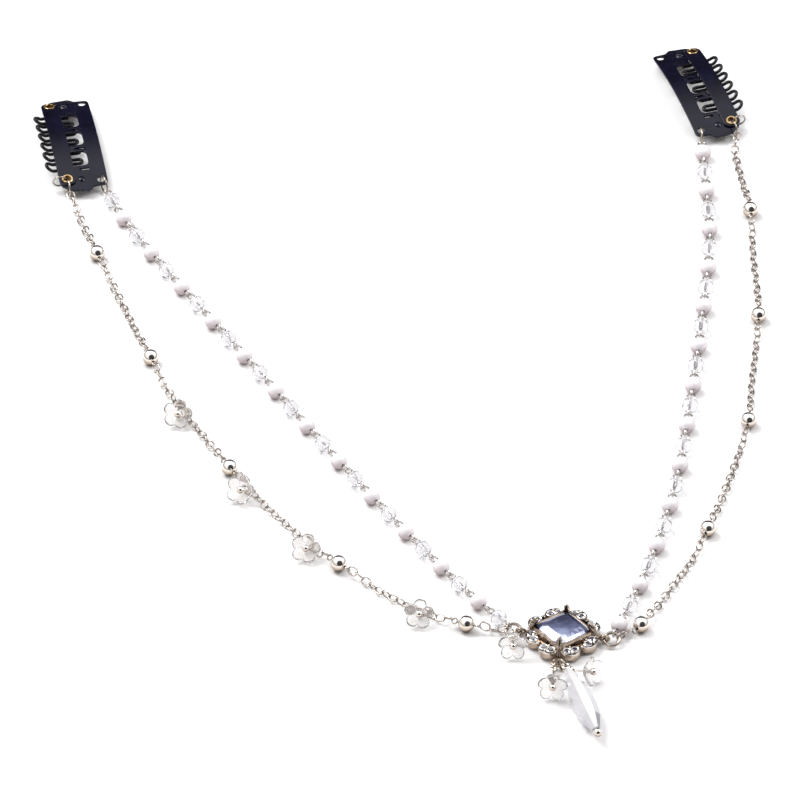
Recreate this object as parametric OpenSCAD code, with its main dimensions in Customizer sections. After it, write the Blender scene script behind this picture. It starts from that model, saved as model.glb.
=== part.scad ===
// Hair chain as it lies on a surface: two snap clips, two bead strands,
// two cable chains and a pendant with a drop. Millimetres, Z up,
// X to the right, Y away from the viewer, the surface at Z = 0.

/* [Bead strands] */
// Diameter of the pearls and the glass beads
bead_d = 4; // [3.4:0.2:4.6]
// Diameter of the hole through each bead
bead_bore = 0.9; // [0.8:0.05:1.1]
// Wire of the eye pins
pin_wire = 0.5; // [0.4:0.05:0.6]
// Inner diameter of an eye pin's loops
pin_eye = 1.3; // [1.3:0.05:1.6]
// Bare wire between a bead and its loops
pin_neck = 0.12; // [0.1:0.02:0.3]

/* [Outer chains] */
// Diameter of the metal balls
ball_d = 4; // [3.4:0.2:4.6]
// Width over the links of the cable chain
chain_w = 2; // [1.6:0.1:2.4]
// Wire of the balls' eye pins
ball_wire = 0.4; // [0.3:0.05:0.5]
// Inner diameter of the balls' eye loops
ball_eye = 0.9; // [0.8:0.05:1.2]

/* [Snap clips] */
// Length of a clip's back plate
clip_l = 37; // [34:0.5:42]
// Thickness of the plate
plate_t = 0.5; // [0.4:0.05:0.7]
// Thickness of the press bar
bar_t = 0.5; // [0.4:0.05:0.7]
// Width of the press bar
bar_w = 4.2; // [3.6:0.1:4.6]
// Height of the middle of the plate above the surface
clip_high = 4.4; // [4.2:0.1:6]
// Radius of the plate's bow along its length
bow_r = 85; // [75:5:150]
// Wire of the comb
comb_wire = 0.85; // [0.7:0.05:0.9]
// Distance from a clip's end to the middle of its first tooth
comb_end = 9; // [8.5:0.25:9.5]
// Height of the teeth's tips above the plate's upper face
comb_rise = 0.5; // [0.2:0.1:0.8]
// Radius of the holes in the plate's corners
sew_r = 0.9; // [0.8:0.05:1]
// Bore radius of the brass eyelets
eyelet_r = 0.9; // [0.85:0.05:0.95]

/* [Jump rings] */
// Wire of the rings on the clips' eyelets
clip_ring_wire = 0.42; // [0.36:0.02:0.42]
// Middle radius of the ring that holds an outer chain
chain_ring_r = 2; // [2:0.1:2.4]
// Middle radius of the spare ring on the same eyelet
spare_ring_r = 1.6; // [1.6:0.05:1.9]
// Wire of the ring that holds a bead strand
bead_ring_wire = 0.5; // [0.4:0.05:0.6]
// Middle radius of the ring that holds a bead strand
bead_ring_r = 2.2; // [2:0.1:2.4]
// Wire of the two thick pendant rings
big_wire = 0.8; // [0.7:0.05:0.9]
// Middle radius of the two thick pendant rings
big_r = 1.8; // [1.7:0.05:2]
// Wire of the flowers' jump rings
small_wire = 0.4; // [0.3:0.05:0.4]
// Middle radius of the flowers' jump rings
small_r = 1.1; // [1.05:0.05:1.2]

/* [Pendant] */
// Side of the square stone
stone_side = 9.6; // [8.8:0.1:9.8]
// Height of the setting's scalloped wall
wall_h = 2.2; // [1.8:0.1:2.4]
// Radius of one scallop
lobe_r = 2.6; // [2.5:0.05:2.8]
// Distance of the scallops' centres from the middle
lobe_at = 6.5; // [6.4:0.1:7]
// Diameter of the small border stones
border_stone_d = 1.7; // [1.4:0.1:1.7]
// Radius of a claw
claw_r = 0.75; // [0.6:0.05:0.8]
// Height of the claws' tips above the setting's back
claw_h = 5.3; // [5:0.1:6]

/* [Flowers] */
// Radius of one round petal
petal_r = 1.65; // [1.5:0.05:1.7]
// Distance of the petals' centres from the middle
petal_at = 1.95; // [1.8:0.05:2]
// Thickness of a flower
flower_t = 1; // [0.8:0.1:1.2]
// Radius of the ball on a flower's pin
flower_ball_r = 0.85; // [0.7:0.05:1]

/* [Drop] */
// Length of the long crystal
drop_l = 23; // [18:0.5:26]
// Width of the long crystal
drop_w = 5.6; // [4.6:0.2:5.6]
// Wire of the drop's ring and pin
drop_wire = 0.5; // [0.4:0.05:0.55]
// Middle radius of the drop's ring
drop_ring_r = 1.4; // [1.35:0.05:1.6]

/* [Hidden] */

LEFT = -1;
RIGHT = 1;

// Gap between loose pieces that touch on the real thing
fit_gap = 0.1;
// Gap between a tube end and the ring or loop that it meets
end_gap = 0.15;

// Places on the surface: x, y and the angle that the clip leans
clip_place_left = [-75.5, 93.5, 10];
clip_place_right = [70.7, 112.7, 18];
pendant_place = [39.1, -94, -8];

// Route of each outer chain between its rings: x, y and what sits there
PLAIN = 0;
BALL = 1;
FLOWER = 2;
route_left = [[-77.7, 65.5, PLAIN], [-73.2, 50.2, BALL], [-69.7, 40.5, PLAIN], [-64.4, 24.5, PLAIN],
    [-59.4, 9.5, BALL], [-56.3, 1, PLAIN], [-50.8, -11.1, FLOWER], [-45.9, -20.1, PLAIN],
    [-39.8, -32.5, BALL], [-34.7, -39.7, FLOWER], [-30.7, -46.3, PLAIN], [-19.7, -61.2, FLOWER],
    [-13.6, -68.3, BALL], [-8.3, -72.9, PLAIN], [-1.9, -78.9, PLAIN], [6.4, -84.9, FLOWER],
    [16.5, -90.5, BALL]];
route_right = [[83.8, 91.3, PLAIN], [85.3, 79.5, PLAIN], [87, 67.5, BALL], [87.3, 49.5, PLAIN],
    [87.9, 37.5, PLAIN], [88, 25.9, BALL], [87, 13.5, PLAIN], [85.7, 0, PLAIN],
    [84.6, -14.6, BALL], [81.5, -28.5, PLAIN], [78.3, -40.5, PLAIN], [74, -55.4, BALL],
    [70.1, -66, PLAIN], [64.3, -77.5, PLAIN], [57.6, -90.7, BALL]];

// Route of each bead strand between its clip and its pendant ring
strand_left = [[-63, 55.9], [-35.3, 7.6], [-8.6, -38.8], [15.3, -76.7]];
strand_right = [[76.4, 73.5], [76.7, 53.5], [74.3, 25.5], [70.7, -8.5], [66.5, -39.5], [59.8, -69]];

// Azimuth in which each chain flower's pin points, in route order
flower_azimuths = [-88, -112, -95, -90];

function unit(v) = v / norm(v);
function polar(angle, r = 1) = [r * cos(angle), r * sin(angle)];
function turn2(p, angle) = [
    p[0] * cos(angle) - p[1] * sin(angle),
    p[0] * sin(angle) + p[1] * cos(angle)];
function aim(azimuth, rise) = [cos(rise) * cos(azimuth), cos(rise) * sin(azimuth), sin(rise)];

// A smooth curve through chosen points, as tables of x and y over its length
curve_steps = 8;
function catmull(a, b, c, d, t) =
    0.5 * (2 * b + (c - a) * t + (2 * a - 5 * b + 4 * c - d) * t * t + (3 * b - a - 3 * c + d) * t * t * t);
function curve_points(p) = let (n = len(p)) [
    for (i = [0:n - 2], k = [0:curve_steps - 1])
        catmull(i > 0 ? p[i - 1] : 2 * p[0] - p[1], p[i], p[i + 1],
            i < n - 2 ? p[i + 2] : 2 * p[n - 1] - p[n - 2], k / curve_steps),
    p[n - 1]];
function running(p) = [
    for (i = 0, s = 0; i < len(p); i = i + 1, s = i < len(p) ? s + norm(p[i] - p[i - 1]) : s) s];
function measured(p) = let (q = curve_points([for (v = p) [v[0], v[1]]]), s = running(q)) [
    [for (i = [0:len(q) - 1]) [s[i], q[i][0]]],
    [for (i = [0:len(q) - 1]) [s[i], q[i][1]]],
    s[len(s) - 1],
    [for (i = [0:len(p) - 1]) s[i * curve_steps]]];
function along(curve, s) = [lookup(s, curve[0]), lookup(s, curve[1])];
function length_of(curve) = curve[2];
function place_of(curve, i) = curve[3][i];
function heading(curve, s) = unit(along(curve, s + 0.4) - along(curve, s - 0.4));

// Moves children so that their Z lies along z and their Y as near y as it can
module set_on(origin, z, y) {
    zz = unit(z);
    yy = unit(y - (y * zz) * zz);
    xx = cross(yy, zz);
    multmatrix([
        [xx[0], yy[0], zz[0], origin[0]],
        [xx[1], yy[1], zz[1], origin[1]],
        [xx[2], yy[2], zz[2], origin[2]],
        [0, 0, 0, 1]]) children();
}

// A round wire ring about Z
module wire_ring(mid_r, wire, sides = 48) {
    rotate_extrude($fn = sides) translate([mid_r, 0]) circle(d = wire, $fn = 24);
}

// Clip

hole_edge = 3;
eyelet_edge = 3.7;
hole_y = clip_l / 2 - hole_edge;
eyelet_y = clip_l / 2 - eyelet_edge;
plate_back_x = 1.7;
bar_back_x = -6.1;
bar_front_x = bar_back_x - bar_w;
eyelet_x = (bar_back_x + bar_front_x) / 2;
flange_t = 0.2;
flange_w = 0.45;
eyelet_wall = 0.25;
bar_gap = 0.05;
flange_gap = 0.03;
window_half = 2.6;
window_corner = 1.3;
teeth = 6;
tooth_pitch = (clip_l - 2 * comb_end) / (teeth - 1);

function clip_place(side) = side == LEFT ? clip_place_left : clip_place_right;
function bow_angle(y) = y / bow_r * 180 / PI;
function bow_y(y) = bow_r * sin(bow_angle(y));
function bow_z(y) = clip_high - bow_r * (1 - cos(bow_angle(y)));
function on_clip_point(side, x, y) = let (c = clip_place(side))
    [c[0], c[1]] + turn2([side == LEFT ? x : -x, y], c[2]);

module on_clip(side) {
    c = clip_place(side);
    translate([c[0], c[1], 0]) rotate([0, 0, c[2]]) mirror([side == LEFT ? 0 : 1, 0, 0]) children();
}

// Sets children on the plate's upper face, with Z square to it
module on_bow(x, y) {
    translate([x, bow_y(y), bow_z(y)]) rotate([-bow_angle(y), 0, 0]) children();
}

// A bowed sheet over a flat outline, from one height above the plate's face to another
module bowed(low, high) {
    reach = 2 * clip_l;
    intersection() {
        translate([0, 0, -clip_high]) linear_extrude(3 * clip_high) children();
        translate([-reach / 2, 0, clip_high - bow_r]) rotate([0, 90, 0]) difference() {
            cylinder(h = reach, r = bow_r + high, $fn = 360);
            translate([0, 0, -1]) cylinder(h = reach + 2, r = bow_r + low, $fn = 360);
        }
    }
}

// Outline of the plate's far half, from its back edge to the press bar
plate_end = clip_l / 2;
plate_half = [[plate_back_x, plate_end - 2.6], [plate_back_x - 0.8, plate_end - 1.5], [-1.8, plate_end - 1.3],
    [-3.2, plate_end], [bar_back_x - 1.3, plate_end - 0.5], [bar_front_x + 0.7, plate_end - 2],
    [bar_front_x + 0.1, plate_end - 4.2]];
notch_half = plate_end - comb_end + 2.9;

module plate_outline() {
    far = concat(plate_half, [[bar_front_x + 0.1, notch_half], [bar_back_x, notch_half]]);
    polygon(concat(far, [for (i = [len(far) - 1:-1:0]) [far[i][0], -far[i][1]]]));
}

// A window that shows the rear bend of the comb
module window_outline() {
    back_x = -3.4;
    translate([bar_back_x - 1, -window_half]) square([back_x - bar_back_x + 1, 2 * window_half]);
    translate([bar_back_x - 1, -window_corner])
        square([back_x + window_corner - bar_back_x + 1, 2 * window_corner]);
    for (s = [-1, 1]) translate([back_x, s * window_corner]) circle(r = window_corner, $fn = 32);
}

module clip_plate(side) {
    slot_l = 2.6;
    slot_w = 0.6;
    slot_x = -4.7;
    dimple_x = -4.7;
    dimple_r = 1.4;
    dimple_h = 0.35;
    color([0.05, 0.05, 0.09]) on_clip(side) difference() {
        union() {
            bowed(-plate_t, 0) difference() {
                plate_outline();
                for (y = [-2, 0, 2]) translate([0, y * tooth_pitch]) window_outline();
                for (y = [-3, -1, 1, 3]) translate([slot_x, y * tooth_pitch - slot_w / 2])
                    square([slot_l, slot_w]);
            }
            for (s = [-1, 1]) on_bow(dimple_x, s * eyelet_y) intersection() {
                translate([0, 0, dimple_h - dimple_r]) sphere(r = dimple_r, $fn = 48);
                translate([-dimple_r, -dimple_r, -plate_t / 2]) cube([2 * dimple_r, 2 * dimple_r, plate_t]);
            }
        }
        for (s = [-1, 1]) {
            on_bow(0, s * hole_y) cylinder(h = 3, r = sew_r, center = true, $fn = 48);
            on_bow(eyelet_x, s * eyelet_y)
                cylinder(h = 3, r = eyelet_r + eyelet_wall + 0.05, center = true, $fn = 48);
        }
    }
}

module clip_bar(side) {
    bar_end = eyelet_y + 1.7;
    corner = 1.7;
    color([0.06, 0.06, 0.11]) on_clip(side) difference() {
        bowed(bar_gap, bar_gap + bar_t) union() {
            translate([bar_front_x, -bar_end + corner]) square([bar_w, 2 * (bar_end - corner)]);
            translate([bar_front_x + corner, -bar_end]) square([bar_w - 2 * corner, 2 * bar_end]);
            for (x = [bar_front_x + corner, bar_back_x - corner], s = [-1, 1])
                translate([x, s * (bar_end - corner)]) circle(r = corner, $fn = 32);
        }
        for (s = [-1, 1]) on_bow(eyelet_x, s * eyelet_y)
            cylinder(h = 6, r = eyelet_r + eyelet_wall + 0.05, center = true, $fn = 48);
    }
}

eyelet_low = -plate_t - flange_gap - flange_t;
eyelet_high = bar_gap + bar_t + flange_gap + flange_t;
eyelet_mid = (eyelet_low + eyelet_high) / 2;

module clip_eyelets(side) {
    color([0.75, 0.55, 0.25]) on_clip(side) for (s = [-1, 1]) on_bow(eyelet_x, s * eyelet_y) difference() {
        union() {
            translate([0, 0, eyelet_low])
                cylinder(h = eyelet_high - eyelet_low, r = eyelet_r + eyelet_wall, $fn = 48);
            for (z = [eyelet_low, eyelet_high - flange_t]) translate([0, 0, z])
                cylinder(h = flange_t, r = eyelet_r + flange_w, $fn = 48);
        }
        translate([0, 0, eyelet_low - 1]) cylinder(h = 4, r = eyelet_r, $fn = 48);
    }
}

// The comb is one wire bent back and forth: its front bends are the teeth. It lies under
// the plate, comes up through the notch and passes beneath the press bar.
tooth_bend = 1.15;
rear_bend = tooth_pitch / 2 - tooth_bend;
comb_back_x = -3;
comb_tip_x = -13.05;
rear_x = comb_back_x - rear_bend - comb_wire / 2;
front_x = comb_tip_x + tooth_bend + comb_wire / 2;
comb_sides = 6;
bend_steps = 6;
under_plate_x = bar_back_x - 0.3;
under_bar_x = bar_back_x - 1.5;
past_bar_x = bar_front_x - comb_wire;
under_plate = -plate_t - fit_gap - comb_wire / 2;
under_bar = bar_gap - fit_gap - comb_wire / 2;
comb_heights = [[comb_tip_x + comb_wire / 2, comb_rise], [past_bar_x, under_bar],
    [under_bar_x, under_bar], [under_plate_x, under_plate]];
leg_xs = [under_plate_x, under_bar_x, past_bar_x];

function on_comb(x, y) = [x, y, bow_z(y) + lookup(x, comb_heights)];
function comb_leg(y, xs) = [for (x = xs) on_comb(x, y)];
// A round bend about a point: from one angle to another
function comb_bend(x, y, r, from, to) = [for (k = [0:bend_steps])
    let (w = from + (to - from) * k / bend_steps) on_comb(x + r * cos(w), y + r * sin(w))];
function comb_tooth(y) = concat(
    comb_leg(y - tooth_bend, leg_xs),
    comb_bend(front_x, y, tooth_bend, 270, 90),
    comb_leg(y + tooth_bend, [for (i = [len(leg_xs) - 1:-1:0]) leg_xs[i]]));
tooth_ys = [for (i = [0:teeth - 1]) (i - (teeth - 1) / 2) * tooth_pitch];
comb_path = concat(
    [on_comb(rear_x, tooth_ys[0] - tooth_bend)],
    [for (i = [0:teeth - 1]) each concat(
        comb_tooth(tooth_ys[i]),
        i < teeth - 1 ? comb_bend(rear_x, tooth_ys[i] + tooth_pitch / 2, rear_bend, -90, 90) : [])],
    [on_comb(rear_x, tooth_ys[teeth - 1] + tooth_bend)]);

// Rings of points along a bent wire, each square to it
function wire_rings(path, wire, n) = [for (i = [0:len(path) - 1]) let (
    t = unit(path[min(i + 1, len(path) - 1)] - path[max(i - 1, 0)]),
    across = unit(cross([0, 0, 1], t)),
    up = cross(t, across))
    [for (j = [0:n - 1]) let (w = 360 * (j + 0.5) / n)
        path[i] + wire / 2 * (cos(w) * across + sin(w) * up)]];

module clip_comb(side) {
    color([0.04, 0.04, 0.06]) on_clip(side) shells([wire_rings(comb_path, comb_wire, comb_sides)],
        comb_sides, false);
}

// Rings on the clip. Each stands square to the plate and passes a hole at its own side.
ring_seat = 0.36;
chain_ring_reach = ring_seat + 2 * chain_ring_r + clip_ring_wire / 2;

module chain_ring(side) {
    color([0.78, 0.76, 0.72]) on_clip(side) on_bow(eyelet_x, -eyelet_y)
        translate([0, -ring_seat - chain_ring_r, eyelet_mid]) rotate([0, 90, 0])
            wire_ring(chain_ring_r, clip_ring_wire);
}

module spare_ring(side) {
    color([0.78, 0.76, 0.72]) on_clip(side) on_bow(eyelet_x, -eyelet_y)
        translate([-ring_seat - spare_ring_r, 0, eyelet_mid]) rotate([90, 0, 0])
            wire_ring(spare_ring_r, clip_ring_wire);
}

// Pendant frame and its two thick rings

ring_tilt = 18;
lug_wire = 0.7;
lug_r = big_wire / 2 + lug_wire / 2 + 0.25;
// The lugs clear the claws beside them
lug_at = max(lobe_at + 3.4, lobe_at + claw_r + lug_r + lug_wire / 2 + 1.3);
big_at = lug_at + big_r;
// The ring's front side leaves room for the flower ring that passes under it
big_z = big_r * sin(ring_tilt) + big_wire / 2 + small_wire + 0.16;
pendant_angle = pendant_place[2];
pendant_xy = [pendant_place[0], pendant_place[1]];

function big_ring_xy(side) = pendant_xy + polar(pendant_angle, side * big_at);
// Place on a thick ring's wire that lies in a given direction, seen from above
function ring_turn(azimuth) = let (a = azimuth - pendant_angle) atan2(sin(a), cos(a) * cos(ring_tilt));
function big_ring_reach(azimuth) = let (t = ring_turn(azimuth))
    big_r * norm([cos(t), sin(t) * cos(ring_tilt)]);
function big_ring_z(azimuth) = big_z + big_r * sin(ring_turn(azimuth)) * sin(ring_tilt);

module pendant_ring(side) {
    p = big_ring_xy(side);
    color([0.72, 0.7, 0.66]) translate([p[0], p[1], big_z]) rotate([0, 0, pendant_angle])
        rotate([ring_tilt, 0, 0]) wire_ring(big_r, big_wire);
}

// Bead strands

bead_z = bead_d / 2;
pin_bend = (pin_eye + pin_wire) / 2;
pin_half = bead_d / 2 + pin_neck + pin_bend + pin_wire / 2;
pin_pitch = 2 * pin_half + pin_eye - fit_gap;
hole_z = bow_z(hole_y) - plate_t / 2;

function strand_route(side) = concat(
    [on_clip_point(side, 0, -bow_y(hole_y))],
    side == LEFT ? strand_left : strand_right,
    [big_ring_xy(side)]);
strand_curve_left = measured(strand_route(LEFT));
strand_curve_right = measured(strand_route(RIGHT));
function strand_curve(side) = side == LEFT ? strand_curve_left : strand_curve_right;
function azimuth_of(d) = atan2(d[1], d[0]);
function strand_azimuth(side) = azimuth_of(
    along(strand_curve(side), bead_ring_r) - along(strand_curve(side), 0));

// Where the first and the last loop of a strand sit on its route
slant_gap = 0.14;
strand_start = bead_ring_r + sqrt(bead_ring_r * bead_ring_r - pow(hole_z - bead_z, 2))
    + (pin_eye - bead_ring_wire) / 2 - slant_gap;
function last_azimuth(side) = let (c = strand_curve(side), l = length_of(c))
    azimuth_of(along(c, l - big_r) - along(c, l));
function strand_end(side) = length_of(strand_curve(side)) - big_ring_reach(last_azimuth(side))
    - (pin_eye - big_wire) / 2 + slant_gap;
function strand_room(side) = strand_end(side) - strand_start - 2 * pin_half;
function bead_count(side) = ceil(strand_room(side) / pin_pitch) + 1;
function bead_pitch(side) = strand_room(side) / (bead_count(side) - 1);
function bead_s(side, i) = strand_start + pin_half + i * bead_pitch(side);
function is_pearl(side, i) = side == LEFT ? i % 2 == 1 : i % 2 == 0;

// Centre and direction of a bead, from the two loops of its pin
function bead_seat(side, i) = let (
    c = strand_curve(side),
    a = along(c, bead_s(side, i) - pin_half),
    b = along(c, bead_s(side, i) + pin_half))
    [(a[0] + b[0]) / 2, (a[1] + b[1]) / 2, azimuth_of(b - a)];

module on_bead(side, i) {
    p = bead_seat(side, i);
    translate([p[0], p[1], bead_z]) rotate([0, 0, p[2]]) children();
}

// A ball with its bore along X
module drilled_ball(d, bore) {
    rotate([0, 90, 0]) rotate_extrude($fn = 48) difference() {
        circle(d = d, $fn = 48);
        translate([-d, -d]) square([d + bore / 2, 2 * d]);
    }
}

module pearls(side) {
    color([0.93, 0.9, 0.93]) for (i = [0:bead_count(side) - 1]) if (is_pearl(side, i))
        on_bead(side, i) drilled_ball(bead_d, bead_bore);
}

// A straight pin along X: a level loop before it and an upright loop after it
module eye_pin(half, bend, wire) {
    rotate([0, 90, 0]) cylinder(h = 2 * (half - bend), d = 0.88 * wire, center = true, $fn = 24);
    translate([-half, 0, 0]) wire_ring(bend, wire, 32);
    translate([half, 0, 0]) rotate([90, 0, 0]) wire_ring(bend, wire, 32);
}

module bead_pins(side) {
    color([0.8, 0.78, 0.75]) for (i = [0:bead_count(side) - 1])
        on_bead(side, i) eye_pin(pin_half, pin_bend, pin_wire);
}

module bead_ring(side) {
    a = strand_azimuth(side);
    p = on_clip_point(side, 0, -bow_y(hole_y)) + polar(a, bead_ring_r);
    color([0.78, 0.76, 0.72]) translate([p[0], p[1], hole_z]) rotate([90, 0, a])
        wire_ring(bead_ring_r, bead_ring_wire);
}

// Faceted solids as lists of rings of points

// Faces between rings, closed by flat caps or, for a drilled piece, into a loop
function ring_faces(rings, n, drilled) = concat(
    [for (i = [0:rings - (drilled ? 1 : 2)], j = [0:n - 1])
        let (a = i * n, b = ((i + 1) % rings) * n, k = (j + 1) % n) [a + j, b + j, b + k, a + k]],
    drilled ? [] : [[for (j = [0:n - 1]) j], [for (j = [n - 1:-1:0]) (rings - 1) * n + j]]);

// Several closed shells as one polyhedron
module shells(list, n, drilled) {
    counts = [for (s = list) len(s)];
    starts = [for (i = 0, t = 0; i < len(list); t = t + counts[i], i = i + 1) t];
    points = [for (s = list, r = s, p = r) p];
    faces = [for (i = [0:len(list) - 1], f = ring_faces(counts[i], n, drilled))
        [for (v = f) v + starts[i] * n]];
    polyhedron(points = points, faces = faces, convexity = 8);
}

// Rings about an axis: each profile row is the distance along it and the radius
function lathe_rings(profile, n, origin, axis, side) = [
    for (row = profile) [for (j = [0:n - 1]) let (w = 360 * (j + 0.5) / n)
        origin + row[0] * axis + row[1] * (cos(w) * side + sin(w) * cross(axis, side))]];

// Cut glass beads, ten sides. Shares of the bead's radius: along the bore, and outwards
glass_sides = 10;
glass_cut = [[-0.87, 0.5], [-0.4, 0.97], [0.4, 0.97], [0.87, 0.5]];

module glass_beads(side) {
    r = bead_d / 2;
    profile = concat([for (c = glass_cut) r * c],
        [[r * glass_cut[3][0], bead_bore / 2], [r * glass_cut[0][0], bead_bore / 2]]);
    beads = [for (i = [0:bead_count(side) - 1]) if (!is_pearl(side, i)) bead_seat(side, i)];
    color([0.88, 0.92, 0.95, 0.6]) shells([for (p = beads)
        lathe_rings(profile, glass_sides, [p[0], p[1], bead_z], aim(p[2], 0), [0, 0, 1])], glass_sides, true);
}

// Outer chains

ball_z = ball_d / 2;
ball_bend = (ball_eye + ball_wire) / 2;
ball_half = ball_d / 2 + 0.1 + ball_bend + ball_wire / 2;
ball_reach = ball_half + ball_bend + ball_wire / 2;
tube_z = chain_w / 2;
tube_sides = 8;
tube_step = 5.5;
tube_ramp = 6;
flower_slot = small_wire / 2 + end_gap;

clip_end_xy = bow_y(eyelet_y) + chain_ring_reach * cos(bow_angle(eyelet_y));
clip_end_z = bow_z(eyelet_y) + eyelet_mid * cos(bow_angle(eyelet_y))
    - (ring_seat + 2 * chain_ring_r) * sin(bow_angle(eyelet_y));

function own_route(side) = side == LEFT ? route_left : route_right;
// The right chain comes to its ring from a little further forward, clear of the last bead
end_turn_right = -12;
function pendant_end(side) = let (
    r = own_route(side),
    c = big_ring_xy(side),
    last = r[len(r) - 1],
    azimuth = azimuth_of([last[0], last[1]] - c) + (side == RIGHT ? end_turn_right : 0))
    c + polar(azimuth, big_ring_reach(azimuth) + big_wire / 2 + end_gap);
function chain_points(side) = concat(
    [concat(on_clip_point(side, eyelet_x, -clip_end_xy - end_gap), [PLAIN])],
    own_route(side),
    [concat(pendant_end(side), [PLAIN])]);
points_left = chain_points(LEFT);
points_right = chain_points(RIGHT);
curve_left = measured(points_left);
curve_right = measured(points_right);
function chain_route(side) = side == LEFT ? points_left : points_right;
function chain_curve(side) = side == LEFT ? curve_left : curve_right;
function marks(side, kind) = [for (i = [0:len(chain_route(side)) - 1])
    if (chain_route(side)[i][2] == kind) place_of(chain_curve(side), i)];
function pendant_end_z(side) = let (v = pendant_end(side) - big_ring_xy(side))
    big_ring_z(azimuth_of(v));

// Stops along a chain: where a stretch of links ends, where the next begins, and the height there
function stops(side) = let (r = chain_route(side), c = chain_curve(side)) concat(
    [[0, 0, clip_end_z]],
    [for (i = [0:len(r) - 1]) if (r[i][2] != PLAIN) let (
        s = place_of(c, i), g = r[i][2] == BALL ? ball_reach + end_gap : flower_slot)
        [s - g, s + g, r[i][2] == BALL ? ball_z : tube_z]],
    [[length_of(c), length_of(c), max(tube_z, pendant_end_z(side))]]);

function fade(u, ramp) = u < ramp ? (1 + cos(180 * u / ramp)) / 2 : 0;
function tube_height(u, l, za, zb) = let (ramp = min(tube_ramp, l / 2))
    tube_z + (za - tube_z) * fade(u, ramp) + (zb - tube_z) * fade(l - u, ramp);

// Rings of points along one stretch, each square to the route
function tube_rings(c, from, to, za, zb) = let (l = to - from, n = max(1, round(l / tube_step))) [
    for (k = [0:n]) let (
        s = from + l * k / n,
        p = along(c, s),
        z = tube_height(l * k / n, l, za, zb),
        e = 0.2,
        rise = (tube_height(l * k / n + e, l, za, zb) - tube_height(l * k / n - e, l, za, zb)) / (2 * e),
        h = heading(c, min(max(s, 0.5), length_of(c) - 0.5)),
        t = unit([h[0], h[1], (k == 0 || k == n) ? 0 : rise]),
        across = [-h[1], h[0], 0],
        up = cross(t, across))
        [for (j = [0:tube_sides - 1]) let (w = 360 * (j + 0.5) / tube_sides)
            [p[0], p[1], z] + chain_w / 2 / cos(180 / tube_sides) * (cos(w) * across + sin(w) * up)]];

module cable_chain(side) {
    st = stops(side);
    color([0.7, 0.68, 0.65]) shells([for (i = [0:len(st) - 2])
        tube_rings(chain_curve(side), st[i][1], st[i + 1][0], st[i][2], st[i + 1][2])], tube_sides, false);
}

module on_ball(side, s) {
    p = along(chain_curve(side), s);
    h = heading(chain_curve(side), s);
    translate([p[0], p[1], ball_z]) rotate([0, 0, azimuth_of(h)]) children();
}

module chain_balls(side) {
    color([0.8, 0.8, 0.8]) for (s = marks(side, BALL)) on_ball(side, s) drilled_ball(ball_d, 2 * ball_wire);
}

module ball_pins(side) {
    color([0.75, 0.73, 0.7]) for (s = marks(side, BALL)) on_ball(side, s) rotate([45, 0, 0])
        eye_pin(ball_half, ball_bend, ball_wire);
}

// Pendant

pendant_lift = 0.32;
pendant_tilt = 2;
stone_half = stone_side / 2;
girdle_low = 3;
girdle_high = 3.3;
table_z = 4.2;
ledge_z = 2.6;
bezel_h = 3.3;
bezel_half = stone_half + 0.7;
stone_gap = 0.1;
floor_t = 0.6;
seat_depth = 0.9;
border_spread = 7.7;
border_at = lobe_at + 0.9;
claw_at = lobe_at + 0.6;

module on_pendant() {
    translate([pendant_xy[0], pendant_xy[1], pendant_lift]) rotate([0, 0, pendant_angle])
        rotate([-pendant_tilt, 0, 0]) children();
}

module claw() {
    bend_z = claw_h - 1.7;
    lean = 1.1;
    cylinder(h = bend_z, r = claw_r, $fn = 32);
    translate([0, 0, bend_z]) sphere(r = claw_r, $fn = 32);
    translate([0, 0, bend_z]) rotate([0, -atan2(lean, claw_h - bend_z), 0])
        cylinder(h = norm([lean, claw_h - bend_z]), r1 = claw_r, r2 = 0.5 * claw_r, $fn = 32);
}

front_lug_r = 1.25;
front_lug_wire = 0.6;
front_lug_z = 1.2;
front_lug_at = lug_at;

module pendant_setting() {
    color([0.62, 0.58, 0.52]) union() {
        on_pendant() {
            difference() {
                union() {
                    linear_extrude(wall_h) union() {
                        circle(r = lobe_at, $fn = 96);
                        for (k = [0:7]) rotate(22.5 + 45 * k) translate([lobe_at, 0])
                            circle(r = lobe_r, $fn = 48);
                    }
                    linear_extrude(bezel_h) intersection() {
                        rotate(45) square(2 * bezel_half, center = true);
                        circle(r = lobe_at + 0.7, $fn = 96);
                    }
                }
                rotate([0, 0, 45]) {
                    translate([-stone_half - stone_gap, -stone_half - stone_gap, ledge_z])
                        cube([stone_side + 2 * stone_gap, stone_side + 2 * stone_gap, bezel_h]);
                    translate([-stone_half + 0.5, -stone_half + 0.5, floor_t])
                        cube([stone_side - 1, stone_side - 1, bezel_h]);
                }
                for (k = [0:7], s = [-1, 1]) rotate([0, 0, 22.5 + 45 * k + s * border_spread])
                    translate([border_at, 0, wall_h - seat_depth])
                        cylinder(h = seat_depth + 1, r = border_stone_d / 2 + 0.05, $fn = 32);
            }
            for (k = [0:3]) rotate([0, 0, 90 * k]) translate([claw_at, 0, 0]) claw();
        }
        for (s = [-1, 1]) {
            p = pendant_xy + polar(pendant_angle, s * lug_at);
            translate([p[0], p[1], big_z]) rotate([0, 0, pendant_angle]) {
                rotate([ring_tilt - 90, 0, 0]) wire_ring(lug_r, lug_wire, 32);
                rotate([0, s * -90, 0]) translate([0, 0, lug_r])
                    cylinder(h = lug_at - lug_r - lobe_at, d = lug_wire, $fn = 24);
            }
        }
        q = pendant_xy + polar(pendant_angle - 90, front_lug_at);
        translate([q[0], q[1], front_lug_z]) rotate([0, 0, pendant_angle]) {
            wire_ring(front_lug_r, front_lug_wire, 32);
            rotate([-90, 0, 0]) translate([0, 0, front_lug_r])
                cylinder(h = front_lug_at - front_lug_r - lobe_at, d = front_lug_wire, $fn = 24);
        }
    }
}

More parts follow.
